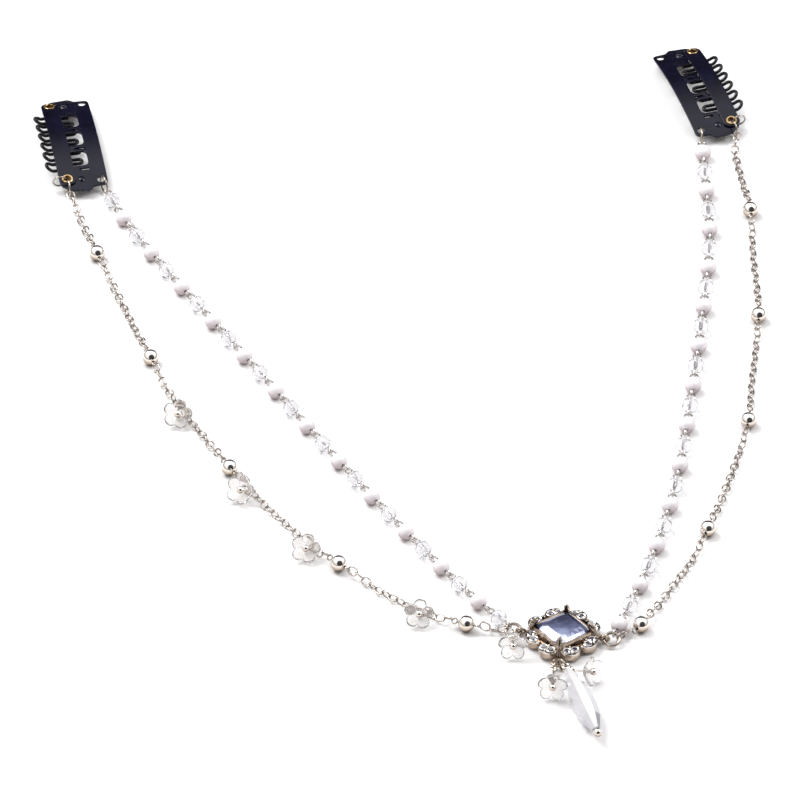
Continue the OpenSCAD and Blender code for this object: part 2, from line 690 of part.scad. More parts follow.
// Rounded square outline: the distance from the middle at an angle
cushion_power = 8;
stone_points = 16;
function cushion(half, angle) = half
    / pow(pow(abs(cos(angle)), cushion_power) + pow(abs(sin(angle)), cushion_power), 1 / cushion_power);
// Cut of the square stone: height, and share of its half side
stone_cut = [[0.95, 0.15], [2.1, 0.7], [girdle_low, 1], [girdle_high, 1], [3.75, 0.86], [table_z, 0.62]];

module pendant_stone() {
    color([0.55, 0.62, 0.8]) on_pendant() shells([[for (row = stone_cut) [for (j = [0:stone_points - 1])
        let (w = 360 * (j + 0.5) / stone_points, r = cushion(stone_half * row[1], w - 45))
        [r * cos(w), r * sin(w), row[0]]]]], stone_points, false);
}

// Cut of a border stone: height, and share of its radius
border_cut = [[0.25, 0.15], [0.9, 1], [1, 1], [1.3, 0.55]];
border_sides = 8;

module border_stones() {
    r = border_stone_d / 2;
    color([0.85, 0.88, 0.95]) on_pendant() shells([for (k = [0:7], s = [-1, 1])
        let (p = polar(22.5 + 45 * k + s * border_spread, border_at))
        lathe_rings([for (c = border_cut) [c[0] * r, c[1] * r]], border_sides,
            [p[0], p[1], wall_h - seat_depth + 0.05], [0, 0, 1], [1, 0, 0])], border_sides, false);
}

// Drop

drop_ring_azimuth = -50;
drop_azimuth = -74;
drop_rise = 2;
drop_seat_angle = 20;
drop_bend = 0.8;
drop_neck = 0.7;
drop_bore = drop_wire + 0.3;
drop_ball_r = 1.05;
front_lug_xy = pendant_xy + polar(pendant_angle - 90, front_lug_at);
drop_ring_xy = front_lug_xy + polar(drop_ring_azimuth, front_lug_r + 0.5);
drop_ring_z = drop_ring_r + drop_wire / 2 + 0.05;
// A point on the drop's ring, by its angle above level on the outer side
function on_drop_ring(angle) = concat(
    drop_ring_xy + polar(drop_ring_azimuth, drop_ring_r * cos(angle)),
    [drop_ring_z + drop_ring_r * sin(angle)]);
drop_eye = on_drop_ring(drop_seat_angle);
drop_axis = aim(drop_azimuth, drop_rise);
crystal_from = drop_bend + drop_wire / 2 + drop_neck;

module drop_ring() {
    color([0.75, 0.72, 0.68]) translate([drop_ring_xy[0], drop_ring_xy[1], drop_ring_z])
        rotate([90, 0, drop_ring_azimuth]) wire_ring(drop_ring_r, drop_wire);
}

// Shape of the crystal: share of its length, and share of its half width
crystal_sides = 8;
crystal_cut = [[0, 0.36], [0.17, 0.7], [0.4, 0.95], [0.64, 1], [0.82, 0.84], [0.93, 0.55], [1, 0.36]];

module drop_crystal() {
    color([0.93, 0.95, 0.97, 0.6]) shells([lathe_rings(concat(
        [for (c = crystal_cut) [crystal_from + c[0] * drop_l, c[1] * drop_w / 2]],
        [[crystal_from + drop_l, drop_bore / 2], [crystal_from, drop_bore / 2]]),
        crystal_sides, drop_eye, drop_axis, unit(cross(drop_axis, [0, 0, 1])))], crystal_sides, true);
}

module drop_pin() {
    pin_l = crystal_from + drop_l + 0.5;
    color([0.75, 0.73, 0.7]) set_on(drop_eye, drop_axis, [0, 0, 1]) union() {
        rotate([90, 0, 0]) wire_ring(drop_bend, drop_wire, 32);
        translate([0, 0, drop_bend]) cylinder(h = pin_l - drop_bend, d = 0.9 * drop_wire, $fn = 24);
        translate([0, 0, crystal_from + drop_l + drop_ball_r + fit_gap / 2])
            sphere(r = drop_ball_r, $fn = 32);
    }
}

// Flowers

flower_wire = 0.4;
flower_bend = 0.65;
flower_bore = 0.35;
cup_r = 5;
flower_rise = 41;
flower_back = flower_bend + flower_wire / 2 + fit_gap;
slot_ring_out = 0.95;
slot_ring_z = small_r + small_wire / 2 + 0.05;
ring_seat_angle = 15;

// A seat: ring centre, ring axis, loop centre, pin direction, loop axis, the pin's spare length
// and the ring's middle radius. A standing ring hangs on a wire that lies beneath its middle.
function standing_seat(wire_xy, azimuth, out, r, pin_azimuth, rise, spare) =
    let (c = concat(wire_xy + polar(azimuth, out), [r + small_wire / 2 + 0.05]))
    [c, aim(azimuth + 90, 0), c + r * aim(azimuth, ring_seat_angle), aim(pin_azimuth, rise),
        aim(azimuth, ring_seat_angle + 90), spare, r];
function chain_flower_seat(i) = let (
    s = marks(LEFT, FLOWER)[i],
    azimuth = azimuth_of(heading(curve_left, s)) - 90)
    standing_seat(along(curve_left, s), azimuth, slot_ring_out, small_r, flower_azimuths[i], flower_rise, 0);

// The flower on the front side of the left pendant ring
ring_flower_r = 1.3;
ring_flower_seat = let (azimuth = pendant_angle - 90) standing_seat(
    big_ring_xy(LEFT) + polar(azimuth, big_ring_reach(azimuth)), azimuth, 0.1,
    ring_flower_r, -87, 20, 3);

// The flower on the pendant's front lug
lug_flower_azimuth = -110;
lug_flower_seat = standing_seat(
    front_lug_xy + polar(lug_flower_azimuth, front_lug_r), lug_flower_azimuth, 0.5,
    small_r, -92, 13, 6.6);

// The flower on the drop's ring: its own ring lies level in it
drop_flower_turn = 25;
drop_flower_seat = let (
    azimuth = drop_ring_azimuth + drop_flower_turn,
    w = drop_ring_xy + polar(drop_ring_azimuth, 0.6),
    z = drop_ring_z - 0.5)
    [concat(w + polar(azimuth, small_r), [z]), [0, 0, 1], concat(w + polar(azimuth, 2 * small_r), [z]),
        aim(-35, 23), aim(azimuth + 90, 0), 3.6, small_r];

flower_seats = concat([for (i = [0:len(flower_azimuths) - 1]) chain_flower_seat(i)],
    [ring_flower_seat, lug_flower_seat, drop_flower_seat]);

module on_flower(i) {
    s = flower_seats[i];
    set_on(s[2], s[3], s[4]) children();
}

module flower(i) {
    back = flower_back + flower_seats[i][5];
    color([0.9, 0.88, 0.96, 0.6]) on_flower(i) translate([0, 0, back]) rotate([0, 0, 18]) difference() {
        intersection() {
            linear_extrude(cup_r) union() {
                for (k = [0:4]) rotate(72 * k) translate([petal_at, 0]) circle(r = petal_r, $fn = 32);
                circle(r = petal_at, $fn = 32);
            }
            translate([0, 0, cup_r]) sphere(r = cup_r, $fn = 96);
        }
        translate([0, 0, cup_r + flower_t]) sphere(r = cup_r, $fn = 96);
        translate([0, 0, -1]) cylinder(h = 4, r = flower_bore, $fn = 24);
    }
}

module flower_pins() {
    color([0.75, 0.73, 0.7]) for (i = [0:len(flower_seats) - 1]) on_flower(i) union() {
        front = flower_back + flower_seats[i][5] + flower_t;
        rotate([90, 0, 0]) wire_ring(flower_bend, flower_wire, 32);
        translate([0, 0, flower_bend])
            cylinder(h = front + 0.3 - flower_bend, d = 0.9 * flower_wire, $fn = 24);
        translate([0, 0, front + fit_gap / 2 + flower_ball_r]) sphere(r = flower_ball_r, $fn = 32);
    }
}

module flower_rings() {
    color([0.72, 0.66, 0.58]) for (i = [0:len(flower_seats) - 1]) {
        s = flower_seats[i];
        set_on(s[0], s[1], s[1][2] > 0.5 ? [1, 0, 0] : [0, 0, 1]) wire_ring(s[6], small_wire, 32);
    }
}

clip_plate(LEFT);  // clip_plate_left
clip_plate(RIGHT);  // clip_plate_right
clip_comb(LEFT);  // clip_comb_left
clip_comb(RIGHT);  // clip_comb_right
clip_bar(LEFT);  // clip_bar_left
clip_bar(RIGHT);  // clip_bar_right
clip_eyelets(LEFT);  // clip_eyelets_left
clip_eyelets(RIGHT);  // clip_eyelets_right
chain_ring(LEFT);  // chain_ring_left
chain_ring(RIGHT);  // chain_ring_right
spare_ring(LEFT);  // spare_ring_left
spare_ring(RIGHT);  // spare_ring_right
bead_ring(LEFT);  // bead_ring_left
bead_ring(RIGHT);  // bead_ring_right
pearls(LEFT);  // pearls_left
pearls(RIGHT);  // pearls_right
glass_beads(LEFT);  // glass_beads_left
glass_beads(RIGHT);  // glass_beads_right
bead_pins(LEFT);  // bead_pins_left
bead_pins(RIGHT);  // bead_pins_right
cable_chain(LEFT);  // cable_chain_left
cable_chain(RIGHT);  // cable_chain_right
chain_balls(LEFT);  // chain_balls_left
chain_balls(RIGHT);  // chain_balls_right
ball_pins(LEFT);  // ball_pins_left
ball_pins(RIGHT);  // ball_pins_right
pendant_setting();
pendant_stone();
border_stones();
pendant_ring(LEFT);  // pendant_ring_left
pendant_ring(RIGHT);  // pendant_ring_right
drop_ring();
drop_crystal();
drop_pin();
flower(0);  // flower_1
flower(1);  // flower_2
flower(2);  // flower_3
flower(3);  // flower_4
flower(4);  // flower_5
flower(5);  // flower_6
flower(6);  // flower_7
flower_pins();
flower_rings();
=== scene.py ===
"""Looks of the lying hair chain: links, wire, beads, stones, flowers, clips, floor, light and camera.
Shapes are worked out in millimetres in the CAD frame and written to the meshes in metres."""
import math
import bmesh
import bpy
import numpy as np
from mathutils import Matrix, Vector


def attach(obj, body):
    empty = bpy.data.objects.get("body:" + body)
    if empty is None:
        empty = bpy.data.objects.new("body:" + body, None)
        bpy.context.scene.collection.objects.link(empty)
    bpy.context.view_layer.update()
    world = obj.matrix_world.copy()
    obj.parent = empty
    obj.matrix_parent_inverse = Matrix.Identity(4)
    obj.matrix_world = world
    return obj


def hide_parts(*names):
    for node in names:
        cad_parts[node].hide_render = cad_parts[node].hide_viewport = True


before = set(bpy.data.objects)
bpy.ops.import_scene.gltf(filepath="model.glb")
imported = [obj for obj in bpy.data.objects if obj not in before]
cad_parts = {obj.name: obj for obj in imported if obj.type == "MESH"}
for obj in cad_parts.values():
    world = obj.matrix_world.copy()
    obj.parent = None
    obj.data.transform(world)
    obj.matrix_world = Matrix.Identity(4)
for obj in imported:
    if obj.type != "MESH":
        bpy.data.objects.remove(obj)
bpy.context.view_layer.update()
MM = 0.001
rng = np.random.default_rng(11)
LEFT, RIGHT = -1, 1
SIDES = {LEFT: "left", RIGHT: "right"}

# ---- camera: long lens, 39 degrees above the surface, aimed at the middle of the photograph's frame
ELEVATION = math.radians(39.0)
DISTANCE = 2.771
AIM = Vector((0.0009, -0.0045, 0.0))
LENS = 517.5
cam_data = bpy.data.cameras.new("camera")
cam_data.lens = LENS
cam_data.sensor_width = 36.0
cam_data.clip_start = 0.1
cam_data.clip_end = 50.0
cam = bpy.data.objects.new("camera", cam_data)
bpy.context.scene.collection.objects.link(cam)
cam.location = AIM + Vector((0, -DISTANCE * math.cos(ELEVATION), DISTANCE * math.sin(ELEVATION)))
cam.rotation_euler = (math.pi / 2 - ELEVATION, 0, 0)
bpy.context.scene.camera = cam


# ---- maths
def unit(v):
    v = np.asarray(v, float)
    return v / np.linalg.norm(v)


def polar(angle, r=1.0):
    a = math.radians(angle)
    return np.array([r * math.cos(a), r * math.sin(a)])


def aim(azimuth, rise=0.0):
    c = math.cos(math.radians(rise))
    return np.array([*(c * polar(azimuth)), math.sin(math.radians(rise))])


def azimuth_of(d):
    return math.degrees(math.atan2(d[1], d[0]))


def move(x=0.0, y=0.0, z=0.0):
    m = np.eye(4)
    m[:3, 3] = (x, y, z)
    return m


def turn(axis, deg):
    c, s = math.cos(math.radians(deg)), math.sin(math.radians(deg))
    i, j = [(1, 2), (2, 0), (0, 1)]["xyz".index(axis)]
    m = np.eye(4)
    m[i, i] = m[j, j] = c
    m[i, j], m[j, i] = -s, s
    return m


def set_on(origin, z, y):
    """Z along z, Y as near y as it can be."""
    z = unit(z)
    y = unit(np.asarray(y, float) - np.dot(y, z) * z)
    m = np.eye(4)
    m[:3, 0], m[:3, 1], m[:3, 2], m[:3, 3] = np.cross(y, z), y, z, origin
    return m


def put(m, pts):
    return np.asarray(pts, float).reshape(-1, 3) @ m[:3, :3].T + m[:3, 3]


# ---- meshes
def grid(rows, cols, wrap_rows=False, start=0):
    """Faces between rows of points, each row closed on itself."""
    out = []
    for i in range(rows if wrap_rows else rows - 1):
        for j in range(cols):
            a, b = i * cols, (i + 1) % rows * cols
            k = (j + 1) % cols
            out.append((start + a + j, start + a + k, start + b + k, start + b + j))
    return out


def caps(rows, n):
    """The first and the last row of n points, each closed with one face."""
    return [tuple(range(n - 1, -1, -1)), tuple(range((rows - 1) * n, rows * n))]


def torus(mid_r, wire_r, n=48, m=12):
    t = np.linspace(0, 2 * math.pi, n, endpoint=False)[:, None]
    w = np.linspace(0, 2 * math.pi, m, endpoint=False)[None, :]
    r = mid_r + wire_r * np.cos(w)
    pts = np.stack([r * np.cos(t), r * np.sin(t), wire_r * np.sin(w) + 0 * t], -1)
    return pts.reshape(-1, 3), grid(n, m, True)


def lathe(profile, n, loop=False):
    """Profile rows are height along Z and radius."""
    pts = []
    for z, r in profile:
        for j in range(n):
            a = 2 * math.pi * (j + 0.5) / n
            pts.append((r * math.cos(a), r * math.sin(a), z))
    faces = grid(len(profile), n, loop)
    if not loop:
        faces += caps(len(profile), n)
    return np.array(pts), faces


def sweep(path, radius, m=10, closed=False):
    """A round wire along a path; radius is one number or one for each point."""
    p = np.asarray(path, float)
    n = len(p)
    r = np.broadcast_to(np.asarray(radius, float), (n,))
    if closed:
        tan = np.roll(p, -1, 0) - np.roll(p, 1, 0)
    else:
        tan = np.gradient(p, axis=0)
    tan /= np.linalg.norm(tan, axis=1)[:, None]
    ref = np.array([0, 0, 1.0]) if abs(tan[0][2]) < 0.9 else np.array([1.0, 0, 0])
    side = unit(np.cross(tan[0], ref))
    pts = []
    w = np.linspace(0, 2 * math.pi, m, endpoint=False)
    for i in range(n):
        side = unit(side - np.dot(side, tan[i]) * tan[i])
        up = np.cross(tan[i], side)
        pts.append(p[i] + r[i] * (np.cos(w)[:, None] * side + np.sin(w)[:, None] * up))
    faces = grid(n, m, closed)
    if not closed:
        faces += caps(n, m)
    return np.concatenate(pts), faces


def ball(d, bore=0.0, n=40, rows=22):
    """A ball whose bore runs along Z."""
    r = d / 2
    a0 = math.asin(bore / d) if bore else 0.02
    prof = [(-r * math.cos(a), r * math.sin(a)) for a in np.linspace(a0, math.pi - a0, rows)]
    return lathe(prof, n, loop=bool(bore))


def facet_bands(rows, n):
    """Faces between rows of n points; rows give their turn in shares of a facet as last value."""
    faces = []
    for i in range(len(rows) - 1):
        a, c = i * n, (i + 1) * n
        lead = rows[i + 1][2] - rows[i][2]
        for j in range(n):
            k = (j + 1) % n
            if lead > 0:
                faces += [(a + j, a + k, c + j), (a + k, c + k, c + j)]
            elif lead < 0:
                faces += [(a + j, a + k, c + k), (a + j, c + k, c + j)]
            else:
                faces.append((a + j, a + k, c + k, c + j))
    return faces


TO_X = turn("y", 90)
SHARP = 35.0  # edges steeper than this stay sharp, in degrees


class Soup:
    """Shells gathered into one object."""

    def __init__(self):
        self.v, self.f, self.n, self.tone = [], [], 0, []

    def add(self, shape, m=None, tone=None):
        v, f = shape
        v = np.asarray(v, float)
        if m is not None:
            v = put(m, v)
            if np.linalg.det(m[:3, :3]) < 0:
                f = [tuple(reversed(q)) for q in f]
        self.v.append(v)
        self.f += [tuple(i + self.n for i in q) for q in f]
        self.n += len(v)
        self.tone += [0.5 if tone is None else tone] * len(f)
        return self

    def make(self, name, material, slot, *nodes, sharp=SHARP):
        me = bpy.data.meshes.new(name)
        me.from_pydata((np.concatenate(self.v) * MM).tolist(), [], self.f)
        me.update()
        return piece(me, name, material, slot, *nodes, sharp=sharp, tone=self.tone)


def piece(me, name, material, slot, *nodes, sharp=SHARP, tone=None):
    bm = bmesh.new()
    bm.from_mesh(me)
    bmesh.ops.recalc_face_normals(bm, faces=bm.faces)
    bm.to_mesh(me)
    bm.free()
    if tone is not None and len(tone) == len(me.polygons):
        at = me.attributes.new("tone", "FLOAT", "FACE")
        at.data.foreach_set("value", np.array(tone, np.float32))
    me.polygons.foreach_set("use_smooth", [True] * len(me.polygons))
    me.set_sharp_from_angle(angle=math.radians(sharp))
    me.materials.append(material)
    obj = bpy.data.objects.new(name, me)
    bpy.context.scene.collection.objects.link(obj)
    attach(obj, "root")
    if nodes:
        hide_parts(*nodes)
    return obj


# ---- materials
def shader(name):
    m = bpy.data.materials.new(name)
    m.use_nodes = True
    nt = m.node_tree
    return m, nt, nt.nodes["Principled BSDF"]


def noise(nt, scale, detail=3.0):
    co = nt.nodes.new("ShaderNodeTexCoord")
    n = nt.nodes.new("ShaderNodeTexNoise")
    n.inputs["Scale"].default_value = scale
    n.inputs["Detail"].default_value = detail
    n.inputs["Roughness"].default_value = 0.55
    nt.links.new(co.outputs["Object"], n.inputs["Vector"])
    return n.outputs["Fac"]


def multiply_add(nt, value, factor, addend):
    """value x factor + addend, where addend is a number or a socket."""
    node = nt.nodes.new("ShaderNodeMath")
    node.operation = "MULTIPLY_ADD"
    nt.links.new(value, node.inputs[0])
    node.inputs[1].default_value = factor
    if isinstance(addend, float):
        node.inputs[2].default_value = addend
    else:
        nt.links.new(addend, node.inputs[2])
    return node.outputs[0]


def remap(nt, value, source, target, smooth=False):
    r = nt.nodes.new("ShaderNodeMapRange")
    if smooth:
        r.interpolation_type = "SMOOTHSTEP"
    for key, number in zip(("From Min", "From Max", "To Min", "To Max"), (*source, *target)):
        r.inputs[key].default_value = number
    nt.links.new(value, r.inputs["Value"])
    return r.outputs["Result"]


def face_tone(nt):
    at = nt.nodes.new("ShaderNodeAttribute")
    at.attribute_name = "tone"
    return at.outputs["Fac"]


def split(nt, vector, axis):
    sep = nt.nodes.new("ShaderNodeSeparateXYZ")
    nt.links.new(vector, sep.inputs[0])
    return sep.outputs[axis]


def ramp(nt, fac, stops):
    r = nt.nodes.new("ShaderNodeValToRGB")
    while len(r.color_ramp.elements) < len(stops):
        r.color_ramp.elements.new(0.5)
    for e, (p, c) in zip(r.color_ramp.elements, stops):
        e.position = p
        e.color = (*c, 1)
    nt.links.new(fac, r.inputs["Fac"])
    return r.outputs["Color"]


def spread(nt, fac, low, high):
    """The middle of a noise's values spread from low to high."""
    return remap(nt, fac, (0.3, 0.7), (low, high))


def painted_light_by_facing(nt, wobble=0.15):
    """Painted light and shade: 0 on faces that look down, 1 on faces that look up, with a little unevenness."""
    geo = nt.nodes.new("ShaderNodeNewGeometry")
    half = multiply_add(nt, split(nt, geo.outputs["Normal"], "Z"), 0.5, 0.5 - wobble / 2)
    return multiply_add(nt, noise(nt, 500.0, 2.0), wobble, half)


def bump(nt, bsdf, fac, strength, distance):
    b = nt.nodes.new("ShaderNodeBump")
    b.inputs["Strength"].default_value = strength
    b.inputs["Distance"].default_value = distance
    nt.links.new(fac, b.inputs["Height"])
    nt.links.new(b.outputs["Normal"], bsdf.inputs["Normal"])


def metal(name, dark, light, rough, scale=900.0, bumps=0.05, painted_shade_stops=None):
    """Plated metal; the given stops paint shade and reflection in colours from the undersides to the tops."""
    m, nt, b = shader(name)
    b.inputs["Metallic"].default_value = 1.0
    n = noise(nt, scale)
    stops = [(0.3, dark), (0.7, light)]
    nt.links.new(ramp(nt, painted_light_by_facing(nt), painted_shade_stops) if painted_shade_stops else ramp(nt, n, stops), b.inputs["Base Color"])
    nt.links.new(spread(nt, n, rough[0], rough[1]), b.inputs["Roughness"])
    bump(nt, b, noise(nt, scale * 2.5), bumps, 0.00005)
    return m


def enamel(name, dark, light, rough, coat, specular):
    m, nt, b = shader(name)
    n = noise(nt, 260.0)
    nt.links.new(ramp(nt, n, [(0.3, dark), (0.7, light)]), b.inputs["Base Color"])
    nt.links.new(spread(nt, noise(nt, 1400.0), rough[0], rough[1]), b.inputs["Roughness"])
    b.inputs["Coat Weight"].default_value = coat
    b.inputs["Coat Roughness"].default_value = 0.05
    b.inputs["Specular IOR Level"].default_value = specular
    bump(nt, b, noise(nt, 700.0), 0.06, 0.00006)
    return m


def clear(name, tints, ior, rough=(0.01, 0.05), film=0.0, scale=350.0):
    m, nt, b = shader(name)
    n = noise(nt, scale, 2.0)
    stops = [(0.25 + 0.5 * i / max(1, len(tints) - 1), c) for i, c in enumerate(tints)]
    nt.links.new(ramp(nt, n, stops), b.inputs["Base Color"])
    nt.links.new(spread(nt, noise(nt, scale * 3), rough[0], rough[1]), b.inputs["Roughness"])
    b.inputs["Transmission Weight"].default_value = 0.85
    b.inputs["IOR"].default_value = ior
    if film:
        b.inputs["Thin Film Thickness"].default_value = film
        b.inputs["Thin Film IOR"].default_value = 1.4
    bump(nt, b, noise(nt, scale * 1.5, 1.0), 0.05, 0.00004)
    return m


def faceted(name, stops, rough, metallic, transmission=0.0, film=0.0):
    """Cut stones: each facet has its own tone, with a little variation over it."""
    m, nt, b = shader(name)
    tone = multiply_add(nt, noise(nt, 500.0, 2.0), 0.16, face_tone(nt))
    nt.links.new(ramp(nt, tone, stops), b.inputs["Base Color"])
    nt.links.new(spread(nt, noise(nt, 1200.0), rough[0], rough[1]), b.inputs["Roughness"])
    b.inputs["Metallic"].default_value = metallic
    b.inputs["Transmission Weight"].default_value = transmission
    b.inputs["Coat Weight"].default_value = 1.0
    b.inputs["Coat Roughness"].default_value = 0.02
    if film:
        b.inputs["Thin Film Thickness"].default_value = film
    return m


def pearly(name):
    m, nt, b = shader(name)
    # painted shade: darker pink-brown towards the undersides, near white on the tops; the pink tint is the
    # pearl's own
    nt.links.new(ramp(nt, painted_light_by_facing(nt, 0.12), [(0.2, (0.34, 0.26, 0.27)), (0.5, (0.62, 0.54, 0.56)),
                                             (0.7, (0.88, 0.83, 0.86)), (0.9, (0.93, 0.9, 0.94))]),
                 b.inputs["Base Color"])
    nt.links.new(spread(nt, noise(nt, 900.0), 0.42, 0.55), b.inputs["Roughness"])
    b.inputs["Coat Weight"].default_value = 0.35
    b.inputs["Coat Roughness"].default_value = 0.3
    b.inputs["Subsurface Weight"].default_value = 0.15
    b.inputs["Subsurface Radius"].default_value = (0.001, 0.0008, 0.0007)
    b.inputs["Subsurface Scale"].default_value = 0.5
    b.inputs["Thin Film Thickness"].default_value = 300.0
    b.inputs["Thin Film IOR"].default_value = 1.5
    bump(nt, b, noise(nt, 1500.0), 0.04, 0.00004)
    return m


ring_metal = metal("ring_metal", (0.28, 0.23, 0.2), (0.56, 0.5, 0.44), (0.08, 0.2))
chain_metal = metal("chain_metal", (0.3, 0.26, 0.23), (0.62, 0.57, 0.53), (0.1, 0.24))
# painted reflection and shade on the balls and pins: dark brown on the undersides, near white on the tops
ball_metal = metal("ball_metal", None, None, (0.03, 0.08), bumps=0.02,
                   painted_shade_stops=[(0.1, (0.12, 0.07, 0.04)), (0.32, (0.36, 0.27, 0.2)),
                           (0.55, (0.62, 0.54, 0.46)), (0.75, (0.95, 0.93, 0.9))])
warm_metal = metal("flower_ring_metal", (0.45, 0.38, 0.3), (0.72, 0.64, 0.54), (0.12, 0.26))
setting_metal = metal("setting_metal", (0.28, 0.21, 0.16), (0.56, 0.46, 0.38), (0.14, 0.3),
                      scale=600.0, bumps=0.1)
rim_metal = metal("rim_metal", (0.6, 0.57, 0.54), (0.86, 0.84, 0.82), (0.06, 0.16))
claw_metal = metal("claw_metal", (0.16, 0.12, 0.09), (0.42, 0.35, 0.29), (0.1, 0.22))
brass = metal("eyelet_brass", (0.55, 0.36, 0.14), (0.85, 0.64, 0.34), (0.12, 0.28))
# painted shade for the inside of the eyelets
bore_shade_metal = metal("eyelet_bore_shade", (0.1, 0.04, 0.015), (0.28, 0.14, 0.05), (0.3, 0.5))
plate_enamel = enamel("clip_enamel", (0.003, 0.003, 0.008), (0.006, 0.006, 0.02), (0.1, 0.2), 0.05, 0.3)
comb_enamel = enamel("comb_wire", (0.002, 0.002, 0.004), (0.006, 0.006, 0.01), (0.15, 0.3), 0.05, 0.25)
pearl = pearly("pearl")
pin_metal = metal("pin_metal", (0.55, 0.53, 0.52), (0.84, 0.82, 0.8), (0.1, 0.24))
bead_glass = clear("cut_glass", [(0.96, 0.95, 0.98), (0.99, 0.99, 1.0)], 1.33, film=250.0)
# tones from grey to white paint light and shade on the crystal's sides
crystal_glass = faceted("crystal", [(0.2, (0.45, 0.45, 0.49)), (0.5, (0.78, 0.78, 0.82)), (0.9, (1, 1, 1))],
                        (0.02, 0.06), 0.0, transmission=0.25)
flower_glass = clear("flower_glass", [(0.78, 0.79, 0.7), (0.98, 0.98, 0.94), (0.93, 0.9, 0.92),
                                      (0.99, 0.99, 0.97), (0.84, 0.86, 0.9)],
                     1.36, rough=(0.03, 0.1), scale=620.0)


def square_stone_look():
    """Painted reflection: near black at the far corner, through blue and periwinkle, to white at the near one,
    facets apart.
    """
    m, nt, b = shader("square_stone")
    co = nt.nodes.new("ShaderNodeTexCoord")
    # painted reflection running from the far corner to the near one
    far_y, near_y = -0.0875, -0.1
    painted_reflection_slope = remap(nt, split(nt, co.outputs["Object"], "Y"), (far_y, near_y), (0.0, 0.72))
    total = multiply_add(nt, noise(nt, 700.0), 0.3, multiply_add(nt, face_tone(nt), 0.24, painted_reflection_slope))
    nt.links.new(ramp(nt, total, [(0.3, (0.02, 0.02, 0.035)), (0.52, (0.045, 0.05, 0.1)),
                                  (0.7, (0.14, 0.16, 0.28)), (0.86, (0.42, 0.47, 0.7)),
                                  (0.96, (0.98, 0.99, 1.0))]), b.inputs["Base Color"])
    nt.links.new(spread(nt, noise(nt, 1200.0), 0.02, 0.07), b.inputs["Roughness"])
    b.inputs["Metallic"].default_value = 0.25
    b.inputs["Coat Weight"].default_value = 0.6
    b.inputs["Coat Roughness"].default_value = 0.02
    return m


stone_look = square_stone_look()
small_stone = faceted("border_glass", [(0.1, (0.04, 0.04, 0.055)), (0.65, (0.26, 0.26, 0.32)),
                                       (1.0, (1, 1, 1))], (0.02, 0.08), 0.7, film=300.0)

# ---- the same named sizes as the part's source, in millimetres
BEAD_D, BEAD_BORE, PIN_WIRE, PIN_EYE, PIN_NECK = 4.0, 0.9, 0.5, 1.3, 0.12
BALL_D, BALL_WIRE, BALL_EYE = 4.0, 0.4, 0.9
CLIP_L, PLATE_T, BAR_T, BAR_W, CLIP_HIGH, BOW_R = 37.0, 0.5, 0.5, 4.2, 4.4, 85.0
COMB_WIRE, COMB_END, COMB_RISE, SEW_R, EYELET_R = 0.85, 9.0, 0.5, 0.9, 0.9
TEETH, TOOTH_BEND, COMB_BACK_X, COMB_TIP_X = 6, 1.15, -3.0, -13.05
TOOTH = (CLIP_L - 2 * COMB_END) / (TEETH - 1)
FIT_GAP, BAR_GAP, EYELET_WALL, EYELET_HEAD = 0.1, 0.05, 0.25, 0.2
CLIP_RING_WIRE, CHAIN_RING_R, SPARE_RING_R, BEAD_RING_WIRE, BEAD_RING_R = 0.42, 2.0, 1.6, 0.5, 2.2
BIG_WIRE, BIG_R, SMALL_WIRE, SMALL_R = 0.8, 1.8, 0.4, 1.1
STONE_SIDE, WALL_H, LOBE_R, LOBE_AT, CLAW_R = 9.6, 2.2, 2.6, 6.5, 0.75
DROP_L, DROP_W, DROP_WIRE, DROP_RING_R = 23.0, 5.6, 0.5, 1.4
CLIP_AT = {LEFT: (-75.5, 93.5, 10.0), RIGHT: (70.7, 112.7, 18.0)}
PENDANT_XY, PENDANT_ANGLE = np.array([39.1, -94.0]), -8.0
PLAIN, BALL, FLOWER = 0, 1, 2
# points of the outer chains from clip to pendant: x, y and what hangs there
ROUTES = {
    LEFT: [(-77.7, 65.5, 0), (-73.2, 50.2, 1), (-69.7, 40.5, 0), (-64.4, 24.5, 0), (-59.4, 9.5, 1),
           (-56.3, 1, 0), (-50.8, -11.1, 2), (-45.9, -20.1, 0), (-39.8, -32.5, 1), (-34.7, -39.7, 2),
           (-30.7, -46.3, 0), (-19.7, -61.2, 2), (-13.6, -68.3, 1), (-8.3, -72.9, 0), (-1.9, -78.9, 0),
           (6.4, -84.9, 2), (16.5, -90.5, 1)],
    RIGHT: [(83.8, 91.3, 0), (85.3, 79.5, 0), (87, 67.5, 1), (87.3, 49.5, 0), (87.9, 37.5, 0), (88, 25.9, 1),
            (87, 13.5, 0), (85.7, 0, 0), (84.6, -14.6, 1), (81.5, -28.5, 0), (78.3, -40.5, 0), (74, -55.4, 1),
            (70.1, -66, 0), (64.3, -77.5, 0), (57.6, -90.7, 1)]}
STRANDS = {LEFT: [(-63, 55.9), (-35.3, 7.6), (-8.6, -38.8), (15.3, -76.7)],
           RIGHT: [(76.4, 73.5), (76.7, 53.5), (74.3, 25.5), (70.7, -8.5), (66.5, -39.5), (59.8, -69)]}
FLOWER_AZIMUTHS = [-88, -112, -95, -90]


